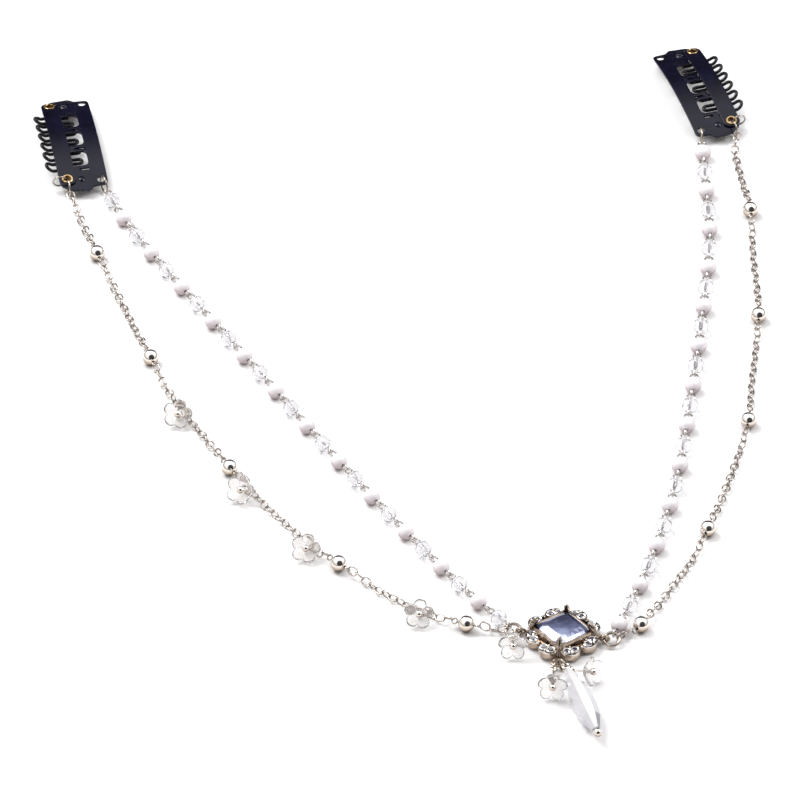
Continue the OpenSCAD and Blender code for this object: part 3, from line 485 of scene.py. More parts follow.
class Curve:
    """Smooth curve through points, measured along its length."""

    def __init__(self, pts):
        p = np.array([q[:2] for q in pts], float)
        ext = np.vstack([2 * p[0] - p[1], p, 2 * p[-1] - p[-2]])
        q = []
        for i in range(len(p) - 1):
            a, b, c, d = ext[i:i + 4]
            for k in range(8):
                t = k / 8
                q.append(0.5 * (2 * b + (c - a) * t + (2 * a - 5 * b + 4 * c - d) * t * t
                                + (3 * b - a - 3 * c + d) * t ** 3))
        q.append(p[-1])
        self.q = np.array(q)
        self.s = np.concatenate([[0], np.cumsum(np.linalg.norm(np.diff(self.q, axis=0), axis=1))])
        self.length = self.s[-1]
        self.at_mark = [self.s[8 * i] for i in range(len(p))]

    def at(self, s):
        out = np.array([np.interp(s, self.s, self.q[:, 0]), np.interp(s, self.s, self.q[:, 1])])
        if s < 0:
            out += s * self.heading(0.5)
        if s > self.length:
            out += (s - self.length) * self.heading(self.length - 0.5)
        return out

    def heading(self, s):
        s = min(max(s, 0.45), self.length - 0.45)
        a = np.array([np.interp(s + 0.4, self.s, self.q[:, i]) - np.interp(s - 0.4, self.s, self.q[:, i])
                      for i in (0, 1)])
        return unit(a)


def make_ring(name, node, mid_r, wire_d, m, n=48, k=12):
    Soup().add(torus(mid_r, wire_d / 2, n, k), m).make(name, ring_metal, "ring_metal", node)


# ---- clips
HOLE_Y, EYELET_Y = CLIP_L / 2 - 3, CLIP_L / 2 - 3.7
BAR_BACK, BAR_FRONT = -6.1, -6.1 - BAR_W
EYELET_X = (BAR_BACK + BAR_FRONT) / 2
EYELET_LOW, EYELET_HIGH = -PLATE_T - 0.23, BAR_GAP + BAR_T + 0.23
EYELET_MID = (EYELET_LOW + EYELET_HIGH) / 2
RING_SEAT, RIVET_HOLE_R = 0.36, EYELET_R + 0.3


def bow_angle(y):
    return math.degrees(y / BOW_R)


def bow_y(y):
    return BOW_R * math.sin(y / BOW_R)


def bow_z(y):
    return CLIP_HIGH - BOW_R * (1 - math.cos(y / BOW_R))


def clip_frame(side):
    """Where a clip lies; the right one mirrors the left one."""
    x, y, a = CLIP_AT[side]
    m = move(x, y) @ turn("z", a)
    return m if side == LEFT else m @ np.diag([-1.0, 1, 1, 1])


def bow_frame(x, y):
    """A place on the bowed plate, with Z square to it."""
    return move(x, bow_y(y), bow_z(y)) @ turn("x", -bow_angle(y))


def circle(x, y, r, n=36):
    turns = np.linspace(0, 2 * math.pi, n, endpoint=False)
    return [(x + r * math.cos(t), y + r * math.sin(t)) for t in turns]


def arc(x, y, r, a0, a1, n=8):
    turns = [math.radians(a) for a in np.linspace(a0, a1, n)]
    return [(x + r * math.cos(t), y + r * math.sin(t)) for t in turns]


def bowed_sheet(side, loops, low, high, edge=0.07):
    """A thin sheet with rounded edges, cut to loops of points and bowed along its length."""
    cu = bpy.data.curves.new("sheet", "CURVE")
    cu.dimensions = "2D"
    cu.fill_mode = "BOTH"
    cu.extrude = (high - low) / 2 - edge
    cu.bevel_depth = edge
    cu.bevel_resolution = 2
    cu.offset = -edge
    for loop in loops:
        sp = cu.splines.new("POLY")
        sp.points.add(len(loop) - 1)
        for p, (x, y) in zip(sp.points, loop):
            p.co = (x, y, 0, 1)
        sp.use_cyclic_u = True
    ob = bpy.data.objects.new("sheet", cu)
    me = bpy.data.meshes.new_from_object(ob)
    bpy.data.objects.remove(ob)
    bpy.data.curves.remove(cu)
    bm = bmesh.new()
    bm.from_mesh(me)
    bmesh.ops.remove_doubles(bm, verts=bm.verts, dist=1e-4)
    # cut across at every millimetre, so that the sheet can bow
    for y in np.arange(-18, 18.1, 1.0):
        bmesh.ops.bisect_plane(bm, geom=bm.verts[:] + bm.edges[:] + bm.faces[:], dist=1e-4,
                               plane_co=(0, y, 0), plane_no=(0, 1, 0))
    m = clip_frame(side)
    for v in bm.verts:
        t = (low + high) / 2 + v.co.z
        z = CLIP_HIGH - BOW_R + math.sqrt((BOW_R + t) ** 2 - v.co.y ** 2)
        v.co = Vector(put(m, (v.co.x, v.co.y, z))[0] * MM)
    bm.to_mesh(me)
    bm.free()
    return me


def plate_loops():
    """The plate's outline with its comb windows, then its sewing holes, eyelet holes and slots."""
    end = CLIP_L / 2
    half = [(1.7, end - 2.6), (1.55, end - 1.9), (0.9, end - 1.5), (-1.8, end - 1.3), (-2.4, end - 0.7),
            (-3.2, end), (BAR_BACK - 1.3, end - 0.5), (BAR_FRONT + 0.7, end - 2), (BAR_FRONT + 0.2, end - 3.0),
            (BAR_FRONT + 0.1, end - 4.2)]
    notch = end - COMB_END + 2.9
    out = list(half) + [(BAR_FRONT + 0.1, notch), (BAR_BACK, notch)]
    for y in (2 * TOOTH, 0, -2 * TOOTH):
        out += [(BAR_BACK, y + 2.6), *arc(-3.4, y + 1.3, 1.3, 90, 0), *arc(-3.4, y - 1.3, 1.3, 0, -90),
                (BAR_BACK, y - 2.6)]
    out += [(BAR_BACK, -notch), (BAR_FRONT + 0.1, -notch)] + [(x, -y) for x, y in reversed(half)]
    holes = [circle(0, s * bow_y(HOLE_Y), SEW_R) for s in (-1, 1)]
    holes += [circle(EYELET_X, s * bow_y(EYELET_Y), RIVET_HOLE_R) for s in (-1, 1)]
    for k in (-3, -1, 1, 3):
        y = k * TOOTH
        holes.append(arc(-4.4, y, 0.3, 90, 270) + arc(-2.4, y, 0.3, -90, 90))
    return [out] + holes


def bar_loops():
    """The bar's outline with round corners, then its eyelet holes."""
    e, c = EYELET_Y + 1.7, 1.7
    out = []
    for x, y, a in ((BAR_BACK - c, e - c, 0), (BAR_FRONT + c, e - c, 90), (BAR_FRONT + c, c - e, 180),
                    (BAR_BACK - c, c - e, 270)):
        out += arc(x, y, c, a, a + 90)
    return [out] + [circle(EYELET_X, s * bow_y(EYELET_Y), RIVET_HOLE_R) for s in (-1, 1)]


def comb_path():
    """The bent wire: under the plate, up through the notch, beneath the bar and up to the tips."""
    bend, back, r = TOOTH_BEND, TOOTH / 2 - TOOTH_BEND, COMB_WIRE / 2
    rear, front = COMB_BACK_X - back - r, COMB_TIP_X + bend + r
    under_bar = BAR_GAP - FIT_GAP - r
    xs = [COMB_TIP_X + r, BAR_FRONT - COMB_WIRE, BAR_BACK - 1.5, BAR_BACK - 0.3]
    zs = [COMB_RISE, under_bar, under_bar, -PLATE_T - FIT_GAP - r]
    legs = [-5.2, BAR_BACK - 0.2, BAR_BACK - 0.6, BAR_BACK - 1.2, BAR_BACK - 1.7, -9.0, -10.2,
            BAR_FRONT - 0.7]
    middle = (TEETH - 1) / 2
    flat = [(rear, -middle * TOOTH - bend)]
    for i in range(TEETH):
        y = (i - middle) * TOOTH
        flat += [(x, y - bend) for x in legs] + arc(front, y, bend, 270, 90, 13)
        flat += [(x, y + bend) for x in reversed(legs)]
        if i < TEETH - 1:
            flat += arc(rear, y + TOOTH / 2, back, -90, 90, 11)
    flat.append((rear, middle * TOOTH + bend))
    return [(x, y, bow_z(y) + np.interp(x, xs, zs)) for x, y in flat]


def build_clip(side):
    n = SIDES[side]
    m = clip_frame(side)
    piece(bowed_sheet(side, plate_loops(), -PLATE_T, 0.0), f"plate_{n}", plate_enamel, "clip_enamel",
          f"clip_plate_{n}", sharp=50)
    piece(bowed_sheet(side, bar_loops(), BAR_GAP, BAR_GAP + BAR_T), f"bar_{n}", plate_enamel,
          "clip_enamel", f"clip_bar_{n}", sharp=50)
    dimples = Soup()
    rise, r = 0.35, 1.4
    prof = [(rise - r + r * math.cos(a), r * math.sin(a)) for a in np.linspace(0.01, 0.78, 9)]
    for s in (-1, 1):
        dimples.add(lathe(prof, 32), m @ bow_frame(-4.7, s * EYELET_Y))
    dimples.make(f"dimples_{n}", plate_enamel, "clip_enamel")
    path = comb_path()
    r = COMB_WIRE / 2
    # the ends go on a little and taper, so that they look rounded
    ends = [[(x + 0.14, y, z), (x + 0.04, y, z)] for x, y, z in (path[0], path[-1])]
    path = ends[0] + path + ends[1][::-1]
    wire = np.concatenate([[0.4 * r, 0.85 * r], np.full(len(path) - 4, r), [0.85 * r, 0.4 * r]])
    Soup().add(sweep(path, wire, 14), m).make(f"comb_{n}", comb_enamel, "comb_wire", f"clip_comb_{n}")
    lo, hi, head = EYELET_LOW, EYELET_HIGH, EYELET_HEAD
    r0, r1, rf = EYELET_R, EYELET_R + EYELET_WALL, EYELET_R + EYELET_WALL + EYELET_HEAD
    eyelet = [(lo, r0 + 0.06), (lo, rf - 0.06), (lo + 0.06, rf), (lo + head, rf), (lo + head, r1),
              (hi - head, r1), (hi - head, rf), (hi - 0.06, rf), (hi, rf - 0.08), (hi, r0 + 0.08),
              (hi - 0.1, r0), (lo + 0.1, r0)]
    # painted shade: a thin dark sleeve over the walls of each eyelet's bore
    shade_sleeve = [(lo + 0.05, r0 - 0.005), (hi - 0.09, r0 - 0.005), (hi - 0.09, r0 + 0.02), (lo + 0.05, r0 + 0.02)]
    eyelets, shade_sleeves = Soup(), Soup()
    for s in (-1, 1):
        at = m @ bow_frame(EYELET_X, s * EYELET_Y)
        eyelets.add(lathe(eyelet, 40, loop=True), at)
        shade_sleeves.add(lathe(shade_sleeve, 40, loop=True), at)
    eyelets.make(f"eyelets_{n}", brass, "eyelet_brass", f"clip_eyelets_{n}")
    shade_sleeves.make(f"eyelet_shade_sleeves_{n}", bore_shade_metal, "eyelet_brass")
    low = m @ bow_frame(EYELET_X, -EYELET_Y)
    make_ring(f"clip_chain_ring_{n}", f"chain_ring_{n}", CHAIN_RING_R, CLIP_RING_WIRE,
              low @ move(0, -RING_SEAT - CHAIN_RING_R, EYELET_MID) @ turn("y", 90))
    make_ring(f"clip_spare_ring_{n}", f"spare_ring_{n}", SPARE_RING_R, CLIP_RING_WIRE,
              low @ move(-RING_SEAT - SPARE_RING_R, 0, EYELET_MID) @ turn("x", 90))


for s in (LEFT, RIGHT):
    build_clip(s)

# ---- pendant rings and strand ends
RING_TILT = 18.0
LUG_WIRE = 0.7
LUG_R = BIG_WIRE / 2 + LUG_WIRE / 2 + 0.25
LUG_AT = max(LOBE_AT + 3.4, LOBE_AT + CLAW_R + LUG_R + LUG_WIRE / 2 + 1.3)
BIG_AT = LUG_AT + BIG_R
BIG_Z = BIG_R * math.sin(math.radians(RING_TILT)) + BIG_WIRE / 2 + SMALL_WIRE + 0.16


def ring_xy(side):
    return PENDANT_XY + polar(PENDANT_ANGLE, side * BIG_AT)


def ring_turn(azimuth):
    """The turn along the tilted pendant ring at which it is met from an azimuth."""
    a = math.radians(azimuth - PENDANT_ANGLE)
    return math.atan2(math.sin(a), math.cos(a) * math.cos(math.radians(RING_TILT)))


def ring_reach(azimuth):
    """How far out the ring's wire lies there."""
    t = ring_turn(azimuth)
    return BIG_R * math.hypot(math.cos(t), math.sin(t) * math.cos(math.radians(RING_TILT)))


def ring_z(azimuth):
    """How high the ring's wire lies there."""
    return BIG_Z + BIG_R * math.sin(ring_turn(azimuth)) * math.sin(math.radians(RING_TILT))


for s in (LEFT, RIGHT):
    p = ring_xy(s)
    make_ring(f"big_ring_{SIDES[s]}", f"pendant_ring_{SIDES[s]}", BIG_R, BIG_WIRE,
              move(p[0], p[1], BIG_Z) @ turn("z", PENDANT_ANGLE) @ turn("x", RING_TILT), 56, 16)

# ---- bead strands
PIN_BEND = (PIN_EYE + PIN_WIRE) / 2
PIN_HALF = BEAD_D / 2 + PIN_NECK + PIN_BEND + PIN_WIRE / 2
HOLE_Z = bow_z(HOLE_Y) - PLATE_T / 2
EYE_GAP = 0.14


def eye_pin(soup, m, half, bend, wire):
    """A straight wire along X with a loop at each end, the second turned square to the first."""
    soup.add(sweep([(x, 0, 0) for x in np.linspace(-(half - bend), half - bend, 6)], 0.44 * wire, 12), m)
    soup.add(torus(bend, wire / 2, 28, 10), m @ move(-half))
    soup.add(torus(bend, wire / 2, 28, 10), m @ move(half) @ turn("x", 90))


def glass_bead():
    """Cut bead: rows of ten facets, each row turned half a facet against the next."""
    r, b = BEAD_D / 2, BEAD_BORE / 2
    n = 10
    rows = [(-0.87 * r, b + 0.03, 0), (-0.87 * r, 0.5 * r, 0), (-0.4 * r, 0.95 * r, 0.5),
            (0.4 * r, 0.95 * r, 0), (0.87 * r, 0.5 * r, 0.5), (0.87 * r, b + 0.03, 0.5)]
    pts = []
    for z, rad, sh in rows:
        pts += [(rad * math.cos(2 * math.pi * (j + sh) / n), rad * math.sin(2 * math.pi * (j + sh) / n), z)
                for j in range(n)]
    top = (len(rows) - 1) * n
    bore = [(top + j, top + (j + 1) % n, (j + 1) % n, j) for j in range(n)]
    return np.array(pts), facet_bands(rows, n) + bore


def build_strand(side):
    n = SIDES[side]
    m = clip_frame(side)
    hole = put(m, (0, -bow_y(HOLE_Y), 0))[0][:2]
    curve = Curve([hole] + STRANDS[side] + [ring_xy(side)])
    az = azimuth_of(curve.at(BEAD_RING_R) - curve.at(0))
    c = hole + polar(az, BEAD_RING_R)
    make_ring(f"strand_ring_{n}", f"bead_ring_{n}", BEAD_RING_R, BEAD_RING_WIRE,
              move(c[0], c[1], HOLE_Z) @ turn("z", az) @ turn("x", 90))
    drop_z = HOLE_Z - BEAD_D / 2
    start = (BEAD_RING_R + math.sqrt(BEAD_RING_R ** 2 - drop_z ** 2)
             + (PIN_EYE - BEAD_RING_WIRE) / 2 - EYE_GAP)
    last = azimuth_of(curve.at(curve.length - BIG_R) - curve.at(curve.length))
    end = curve.length - ring_reach(last) - (PIN_EYE - BIG_WIRE) / 2 + EYE_GAP
    room = end - start - 2 * PIN_HALF
    count = math.ceil(room / (2 * PIN_HALF + PIN_EYE - FIT_GAP)) + 1
    pearls, glass, pins = Soup(), Soup(), Soup()
    for i in range(count):
        s = start + PIN_HALF + i * room / (count - 1)
        a, b = curve.at(s - PIN_HALF), curve.at(s + PIN_HALF)
        q = (a + b) / 2
        bm = move(q[0], q[1], BEAD_D / 2) @ turn("z", azimuth_of(b - a))
        eye_pin(pins, bm, PIN_HALF, PIN_BEND, PIN_WIRE)
        if (i % 2 == 1) == (side == LEFT):
            pearls.add(ball(BEAD_D, BEAD_BORE), bm @ TO_X)
        else:
            glass.add(glass_bead(), bm @ turn("x", 360 * rng.random()) @ TO_X)
    pins.make(f"eye_pins_{n}", pin_metal, "ring_metal", f"bead_pins_{n}")
    pearls.make(f"pearl_beads_{n}", pearl, "pearl", f"pearls_{n}")
    glass.make(f"cut_beads_{n}", bead_glass, "cut_glass", f"glass_beads_{n}", sharp=8)


for s in (LEFT, RIGHT):
    build_strand(s)

# ---- outer chains
BALL_BEND = (BALL_EYE + BALL_WIRE) / 2
BALL_HALF = BALL_D / 2 + 0.1 + BALL_BEND + BALL_WIRE / 2
LINK_L, LINK_W, LINK_WIRE, LINK_Z, END_GAP = 2.95, 2.15, 0.4, 0.92, 0.15
LINK_PITCH, FLOWER_ROLL, RAMP_L, LOOSE_ROLL = 2.13, -23.0, 6.0, 7.0
CLIP_REACH = RING_SEAT + 2 * CHAIN_RING_R + CLIP_RING_WIRE / 2
# degrees by which a chain's last link hangs round the pendant ring from the straight line
HOOK_TURN = {LEFT: 0, RIGHT: -12}


def chain_curve(side):
    a = math.radians(bow_angle(EYELET_Y))
    first_y = -(bow_y(EYELET_Y) + CLIP_REACH * math.cos(a)) - END_GAP
    first = put(clip_frame(side), (EYELET_X, first_y, 0))[0][:2]
    c = ring_xy(side)
    az = azimuth_of(np.array(ROUTES[side][-1][:2]) - c) + HOOK_TURN[side]
    end = c + polar(az, ring_reach(az) + BIG_WIRE / 2 + END_GAP)
    pts = [(*first, PLAIN)] + ROUTES[side] + [(*end, PLAIN)]
    z0 = bow_z(EYELET_Y) + EYELET_MID * math.cos(a) - (RING_SEAT + 2 * CHAIN_RING_R) * math.sin(a)
    return Curve(pts), pts, z0, max(1.0, ring_z(az))


CHAINS = {s: chain_curve(s) for s in (LEFT, RIGHT)}


def fade(u, ramp_l):
    """1 before the ramp, 0 after it, a cosine between."""
    return (1 + math.cos(math.pi * u / ramp_l)) / 2 if 0 <= u < ramp_l else (1.0 if u < 0 else 0.0)


def link_shape():
    mean, half = (LINK_W - LINK_WIRE) / 2, (LINK_L - LINK_W) / 2
    pts = arc(half, 0, mean, -90, 90, 9) + arc(-half, 0, mean, 90, 270, 9)
    return sweep([(x, y, 0) for x, y in pts], LINK_WIRE / 2, 8, closed=True)


def build_chain(side):
    """Links between the balls and flower rings, each turned a quarter against the last, give or take."""
    n = SIDES[side]
    curve, pts, z0, z1 = CHAINS[side]
    hook = BALL_HALF + BALL_BEND - (BALL_WIRE + LINK_WIRE) / 2 + (LINK_L - LINK_WIRE) / 2
    ends = [(0.5, 0.0, z0)]
    spans = []
    for i, p in enumerate(pts):
        s = curve.at_mark[i]
        if p[2] == BALL:
            spans.append((ends[-1], (s - hook, -45.0, BALL_D / 2)))
            ends.append((s + hook, 45.0, BALL_D / 2))
        elif p[2] == FLOWER:
            spans.append((ends[-1], (s, FLOWER_ROLL, LINK_Z)))
            ends.append((s, FLOWER_ROLL, LINK_Z))
    spans.append((ends[-1], (curve.length - 0.12, 90.0, z1)))
    links = Soup()
    shape = link_shape()
    for (sa, ra, za), (sb, rb, zb) in spans:
        k = max(1, round((sb - sa) / LINK_PITCH))
        off = (rb - ra - 90 * k + 90) % 180 - 90
        ramp_l = min(RAMP_L, (sb - sa) / 2)
        pos = []
        for j in range(k + 1):
            s = sa + (sb - sa) * j / k
            z = LINK_Z + (za - LINK_Z) * fade(s - sa, ramp_l) + (zb - LINK_Z) * fade(sb - s, ramp_l)
            pos.append(np.array([*curve.at(s), z]))
        shared_link = ra == FLOWER_ROLL
        for j in range(1 if shared_link else 0, k + 1):
            d = unit(pos[min(j + 1, k)] - pos[max(j - 1, 0)])
            y = unit(np.cross((0, 0, 1), d))
            m = np.eye(4)
            m[:3, 0], m[:3, 1], m[:3, 2], m[:3, 3] = d, y, np.cross(d, y), pos[j]
            roll = ra + j * (90 + off / k)
            if 0 < j < k:
                roll += rng.uniform(-LOOSE_ROLL, LOOSE_ROLL)
            links.add(shape, m @ turn("x", roll))
    links.make(f"links_{n}", chain_metal, "chain_metal", f"cable_chain_{n}", sharp=80)
    balls, pins = Soup(), Soup()
    for i, p in enumerate(pts):
        if p[2] == BALL:
            s = curve.at_mark[i]
            q = curve.at(s)
            bm = move(q[0], q[1], BALL_D / 2) @ turn("z", azimuth_of(curve.heading(s)))
            balls.add(ball(BALL_D, 2 * BALL_WIRE), bm @ TO_X)
            eye_pin(pins, bm @ turn("x", 45), BALL_HALF, BALL_BEND, BALL_WIRE)
    balls.make(f"metal_balls_{n}", ball_metal, "ball_metal", f"chain_balls_{n}")
    pins.make(f"metal_ball_pins_{n}", chain_metal, "chain_metal", f"ball_pins_{n}")


for s in (LEFT, RIGHT):
    build_chain(s)

# ---- pendant
LIFT, TILT = 0.32, 2.0
PM = move(PENDANT_XY[0], PENDANT_XY[1], LIFT) @ turn("z", PENDANT_ANGLE) @ turn("x", -TILT)
SEAT_AT, SPREAD, CLAW_AT = LOBE_AT + 0.9, 7.7, LOBE_AT + 0.6
FRONT_LUG, FRONT_LUG_R, FRONT_LUG_WIRE = PENDANT_XY + polar(PENDANT_ANGLE - 90, LUG_AT), 1.25, 0.6


def scallop(offset, n=192):
    """The setting's outline of eight lobes, moved out by offset."""
    out = []
    for a in np.linspace(0, 360, n, endpoint=False):
        d = math.radians(a % 45 - 22.5)
        bulge = math.sqrt(max(LOBE_R ** 2 - (LOBE_AT * math.sin(d)) ** 2, 0.01))
        out.append(polar(a, LOBE_AT * math.cos(d) + bulge + offset))
    return out


def square_norm(t, power):
    """Length of the unit vector at angle t, measured so that a rounded square has radius 1."""
    return (abs(math.cos(t)) ** power + abs(math.sin(t)) ** power) ** (1 / power)


def rounded_square(half, cut, n=96):
    """A square standing on a corner, its corners rounded and cut off at a radius."""
    out = []
    for a in np.linspace(0, 360, n, endpoint=False):
        t = math.radians(a)
        out.append(polar(a + 45, min(half / square_norm(t, 14), cut)))
    return out


def loft(rows, closed=True):
    """A shell over rows of a height and a loop of points."""
    n = len(rows[0][1])
    pts = [(x, y, z) for z, loop in rows for x, y in loop]
    faces = grid(len(rows), n)
    if closed:
        faces += caps(len(rows), n)
    return np.array(pts), faces


def build_setting():
    wall = Soup()
    wall.add(loft([(0.0, scallop(-0.5)), (0.12, scallop(-0.2)), (0.4, scallop(-0.02)), (1.5, scallop(0)),
                   (WALL_H - 0.35, scallop(-0.05)), (WALL_H - 0.3, scallop(-0.4)),
                   (WALL_H - 0.9, scallop(-0.75)), (WALL_H - 0.95, scallop(-2.6))]), PM)
    for s in (-1, 1):
        p = PENDANT_XY + polar(PENDANT_ANGLE, s * LUG_AT)
        lm = move(p[0], p[1], BIG_Z) @ turn("z", PENDANT_ANGLE)
        wall.add(torus(LUG_R, LUG_WIRE / 2, 40, 14), lm @ turn("x", RING_TILT - 90))
        stem = [(-s * x, 0, 0) for x in np.linspace(LUG_R, LUG_AT - LOBE_AT - 1, 5)]
        wall.add(sweep(stem, LUG_WIRE / 2, 14), lm)
    fm = move(FRONT_LUG[0], FRONT_LUG[1], 1.2) @ turn("z", PENDANT_ANGLE)
    wall.add(torus(FRONT_LUG_R, FRONT_LUG_WIRE / 2, 40, 14), fm)
    stem = [(0, y, 0) for y in np.linspace(FRONT_LUG_R, LUG_AT - LOBE_AT - 1, 5)]
    wall.add(sweep(stem, FRONT_LUG_WIRE / 2, 14), fm)
    wall.make("setting_wall", setting_metal, "setting_metal", "pendant_setting")
    rim = Soup()
    rim.add(loft([(WALL_H - 0.42, scallop(-0.06)), (WALL_H - 0.35, scallop(0.05)),
                  (WALL_H - 0.1, scallop(0.06)), (WALL_H, scallop(-0.04)), (WALL_H, scallop(-0.3)),
                  (WALL_H - 0.4, scallop(-0.42))], closed=False), PM)
    # height, half width past the stone's, radius of the cut corners past LOBE_AT
    bezel = [(WALL_H - 1.0, 0.7, 0.7), (3.1, 0.55, 0.6), (3.3, 0.42, 0.5), (3.34, 0.25, 0.45),
             (3.2, 0.12, 0.4), (2.6, 0.1, 0.4)]
    Soup().add(loft([(z, rounded_square(STONE_SIDE / 2 + past, LOBE_AT + cut)) for z, past, cut in bezel],
                    closed=False), PM).make("setting_bezel", setting_metal, "setting_metal")
    for k in range(8):
        for s in (-1, 1):
            a = 22.5 + 45 * k + s * SPREAD
            x, y = polar(a, SEAT_AT)
            rim.add(torus(0.95, 0.16, 28, 8), PM @ move(x, y, WALL_H - 0.05))
        for a, r in ((22.5 + 45 * k, LOBE_AT + 1.95), (45 * k, LOBE_AT + 0.95),
                     (22.5 + 45 * k, LOBE_AT - 0.1)):
            if r < LOBE_AT or a % 90:  # no grain where a claw stands
                x, y = polar(a, r)
                rim.add(ball(0.62, 0, 16, 9), PM @ move(x, y, WALL_H + 0.05))
    rim.make("setting_rim", rim_metal, "setting_metal")
    claws = Soup()
    # distance past CLAW_AT, height, radius of the wire
    claw = [(0.05, 0.3, 0.72), (0.05, 1.2, 0.74), (0.05, 2.2, 0.75), (0.05, 3.0, 0.75), (0.02, 3.5, 0.74),
            (-0.2, 4.0, 0.7), (-0.55, 4.5, 0.62), (-0.9, 4.95, 0.52), (-1.05, 5.2, 0.36), (-1.1, 5.28, 0.1)]
    for k in range(4):
        claws.add(sweep([(CLAW_AT + x, 0, z) for x, z, _ in claw], [r for _, _, r in claw], 16),
                  PM @ turn("z", 90 * k))
    claws.make("claws", claw_metal, "setting_metal")


build_setting()


def square_stone():
    """Cushion with a table, two rows of crown facets, a girdle and a dark pavilion."""
    half = STONE_SIDE / 2

    def loop(share, n, shift):
        out = []
        for j in range(n):
            a = 360 * (j + shift) / n
            out.append(polar(a, share * half / square_norm(math.radians(a - 45), 8)))
        return out

    rows = [(0.95, 0.15, 0), (2.1, 0.7, 0.5), (3.0, 1.0, 0), (3.3, 1.0, 0), (3.72, 0.87, 0.5), (4.2, 0.64, 0)]
    n = 24
    pts = [(x, y, z) for z, share, sh in rows for x, y in loop(share, n, sh)]
    return np.array(pts), facet_bands(rows, n) + caps(len(rows), n)


stone = Soup().add(square_stone(), PM)
stone.tone = [float(t) for t in rng.uniform(0.1, 0.85, len(stone.f))]
stone.tone[-1] = 0.55  # the table
stone.make("square_stone", stone_look, "square_stone", "pendant_stone", sharp=5)

small = Soup()
for k in range(8):
    for s in (-1, 1):
        x, y = polar(22.5 + 45 * k + s * SPREAD, SEAT_AT)
        prof = [(-0.55, 0.12), (0.0, 0.82), (0.1, 0.85), (0.36, 0.5)]
        small.add(lathe(prof, 8), PM @ move(x, y, WALL_H - 0.12) @ turn("z", 360 * rng.random()))
small.tone = [float(t) for t in rng.uniform(0.1, 1.0, len(small.f))]
small.make("border_stones_cut", small_stone, "border_glass", "border_stones", sharp=5)

# ---- drop
RING_AZ, DROP_AZ = -50.0, -74.0
DROP_XY = FRONT_LUG + polar(RING_AZ, 1.75)
DROP_Z = DROP_RING_R + DROP_WIRE / 2 + 0.05
DROP_SEAT, DROP_EYE, DROP_BALL = math.radians(20), 0.8, 2.1
EYE = np.array([*(DROP_XY + polar(RING_AZ, DROP_RING_R * math.cos(DROP_SEAT))),
                DROP_Z + DROP_RING_R * math.sin(DROP_SEAT)])
DROP_FROM = DROP_EYE + DROP_WIRE / 2 + 0.7
make_ring("drop_jump_ring", "drop_ring", DROP_RING_R, DROP_WIRE,
          move(DROP_XY[0], DROP_XY[1], DROP_Z) @ turn("z", RING_AZ) @ turn("x", 90))
DM = set_on(EYE, aim(DROP_AZ, 2), (0, 0, 1))


def crystal():
    cut = [(0, 0.32), (0.02, 0.38), (0.17, 0.7), (0.4, 0.95), (0.64, 1), (0.82, 0.84), (0.93, 0.55),
           (1, 0.34)]
    h, b = DROP_W / 2, DROP_WIRE / 2 + 0.15
    prof = [(DROP_FROM + u * DROP_L, w * h) for u, w in cut]
    prof += [(DROP_FROM + DROP_L, b), (DROP_FROM, b)]
    return lathe(prof, len(painted_side_light), loop=True)


# painted light and shade: one tone for each side of the crystal, the bright one up
painted_side_light = [0.2, 0.85, 0.42, 0.3, 0.4, 0.3, 0.4, 0.2]
drop = Soup().add(crystal(), DM)
drop.tone = [painted_side_light[i % len(painted_side_light)] for i in range(len(drop.f))]
drop.make("long_crystal", crystal_glass, "crystal", "drop_crystal", sharp=8)
drop_end = DROP_FROM + DROP_L
pin = Soup().add(torus(DROP_EYE, DROP_WIRE / 2, 32, 12), DM @ turn("x", 90))
pin.add(sweep([(0, 0, z) for z in np.linspace(DROP_EYE, drop_end + 0.5, 12)], 0.45 * DROP_WIRE, 12), DM)
pin.add(ball(DROP_BALL, 0, 32, 18), DM @ move(0, 0, drop_end + 1.1))
pin.make("drop_ball_pin", ball_metal, "ring_metal", "drop_pin")


# ---- flowers
FLOWER_EYE, FLOWER_WIRE, FLOWER_BALL = 0.65, 0.4, 1.7
PETAL_REACH, CUP_R = 3.62, 5.0


def standing(wire_xy, az, out, r, pin_az, rise, spare):
    """Seat of a flower: its ring's centre and axis, the pin's eye, direction and loop axis, spare pin, ring."""
    c = np.array([*(wire_xy + polar(az, out)), r + SMALL_WIRE / 2 + 0.05])
    return c, aim(az + 90), c + r * aim(az, 15), aim(pin_az, rise), aim(az, 105), spare, r


# four flowers on the left chain, then one each on the left pendant ring, the front lug and the drop ring
SEATS = []
left_curve, left_points = CHAINS[LEFT][:2]
slots = [left_curve.at_mark[i] for i, p in enumerate(left_points) if p[2] == FLOWER]
for s, az in zip(slots, FLOWER_AZIMUTHS):
    SEATS.append(standing(left_curve.at(s), azimuth_of(left_curve.heading(s)) - 90, 0.95, SMALL_R, az, 41, 0))
az = PENDANT_ANGLE - 90
SEATS.append(standing(ring_xy(LEFT) + polar(az, ring_reach(az)), az, 0.1, 1.3, -87, 20, 3))
SEATS.append(standing(FRONT_LUG + polar(-110, 1.25), -110, 0.5, SMALL_R, -92, 13, 6.6))
w, az = DROP_XY + polar(RING_AZ, 0.6), RING_AZ + 25
z = DROP_Z - 0.5
SEATS.append((np.array([*(w + polar(az, SMALL_R)), z]), np.array([0, 0, 1.0]),
              np.array([*(w + polar(az, 2 * SMALL_R)), z]), aim(-35, 23), aim(az + 90), 3.6, SMALL_R))
BACK = FLOWER_EYE + FLOWER_WIRE / 2 + FIT_GAP


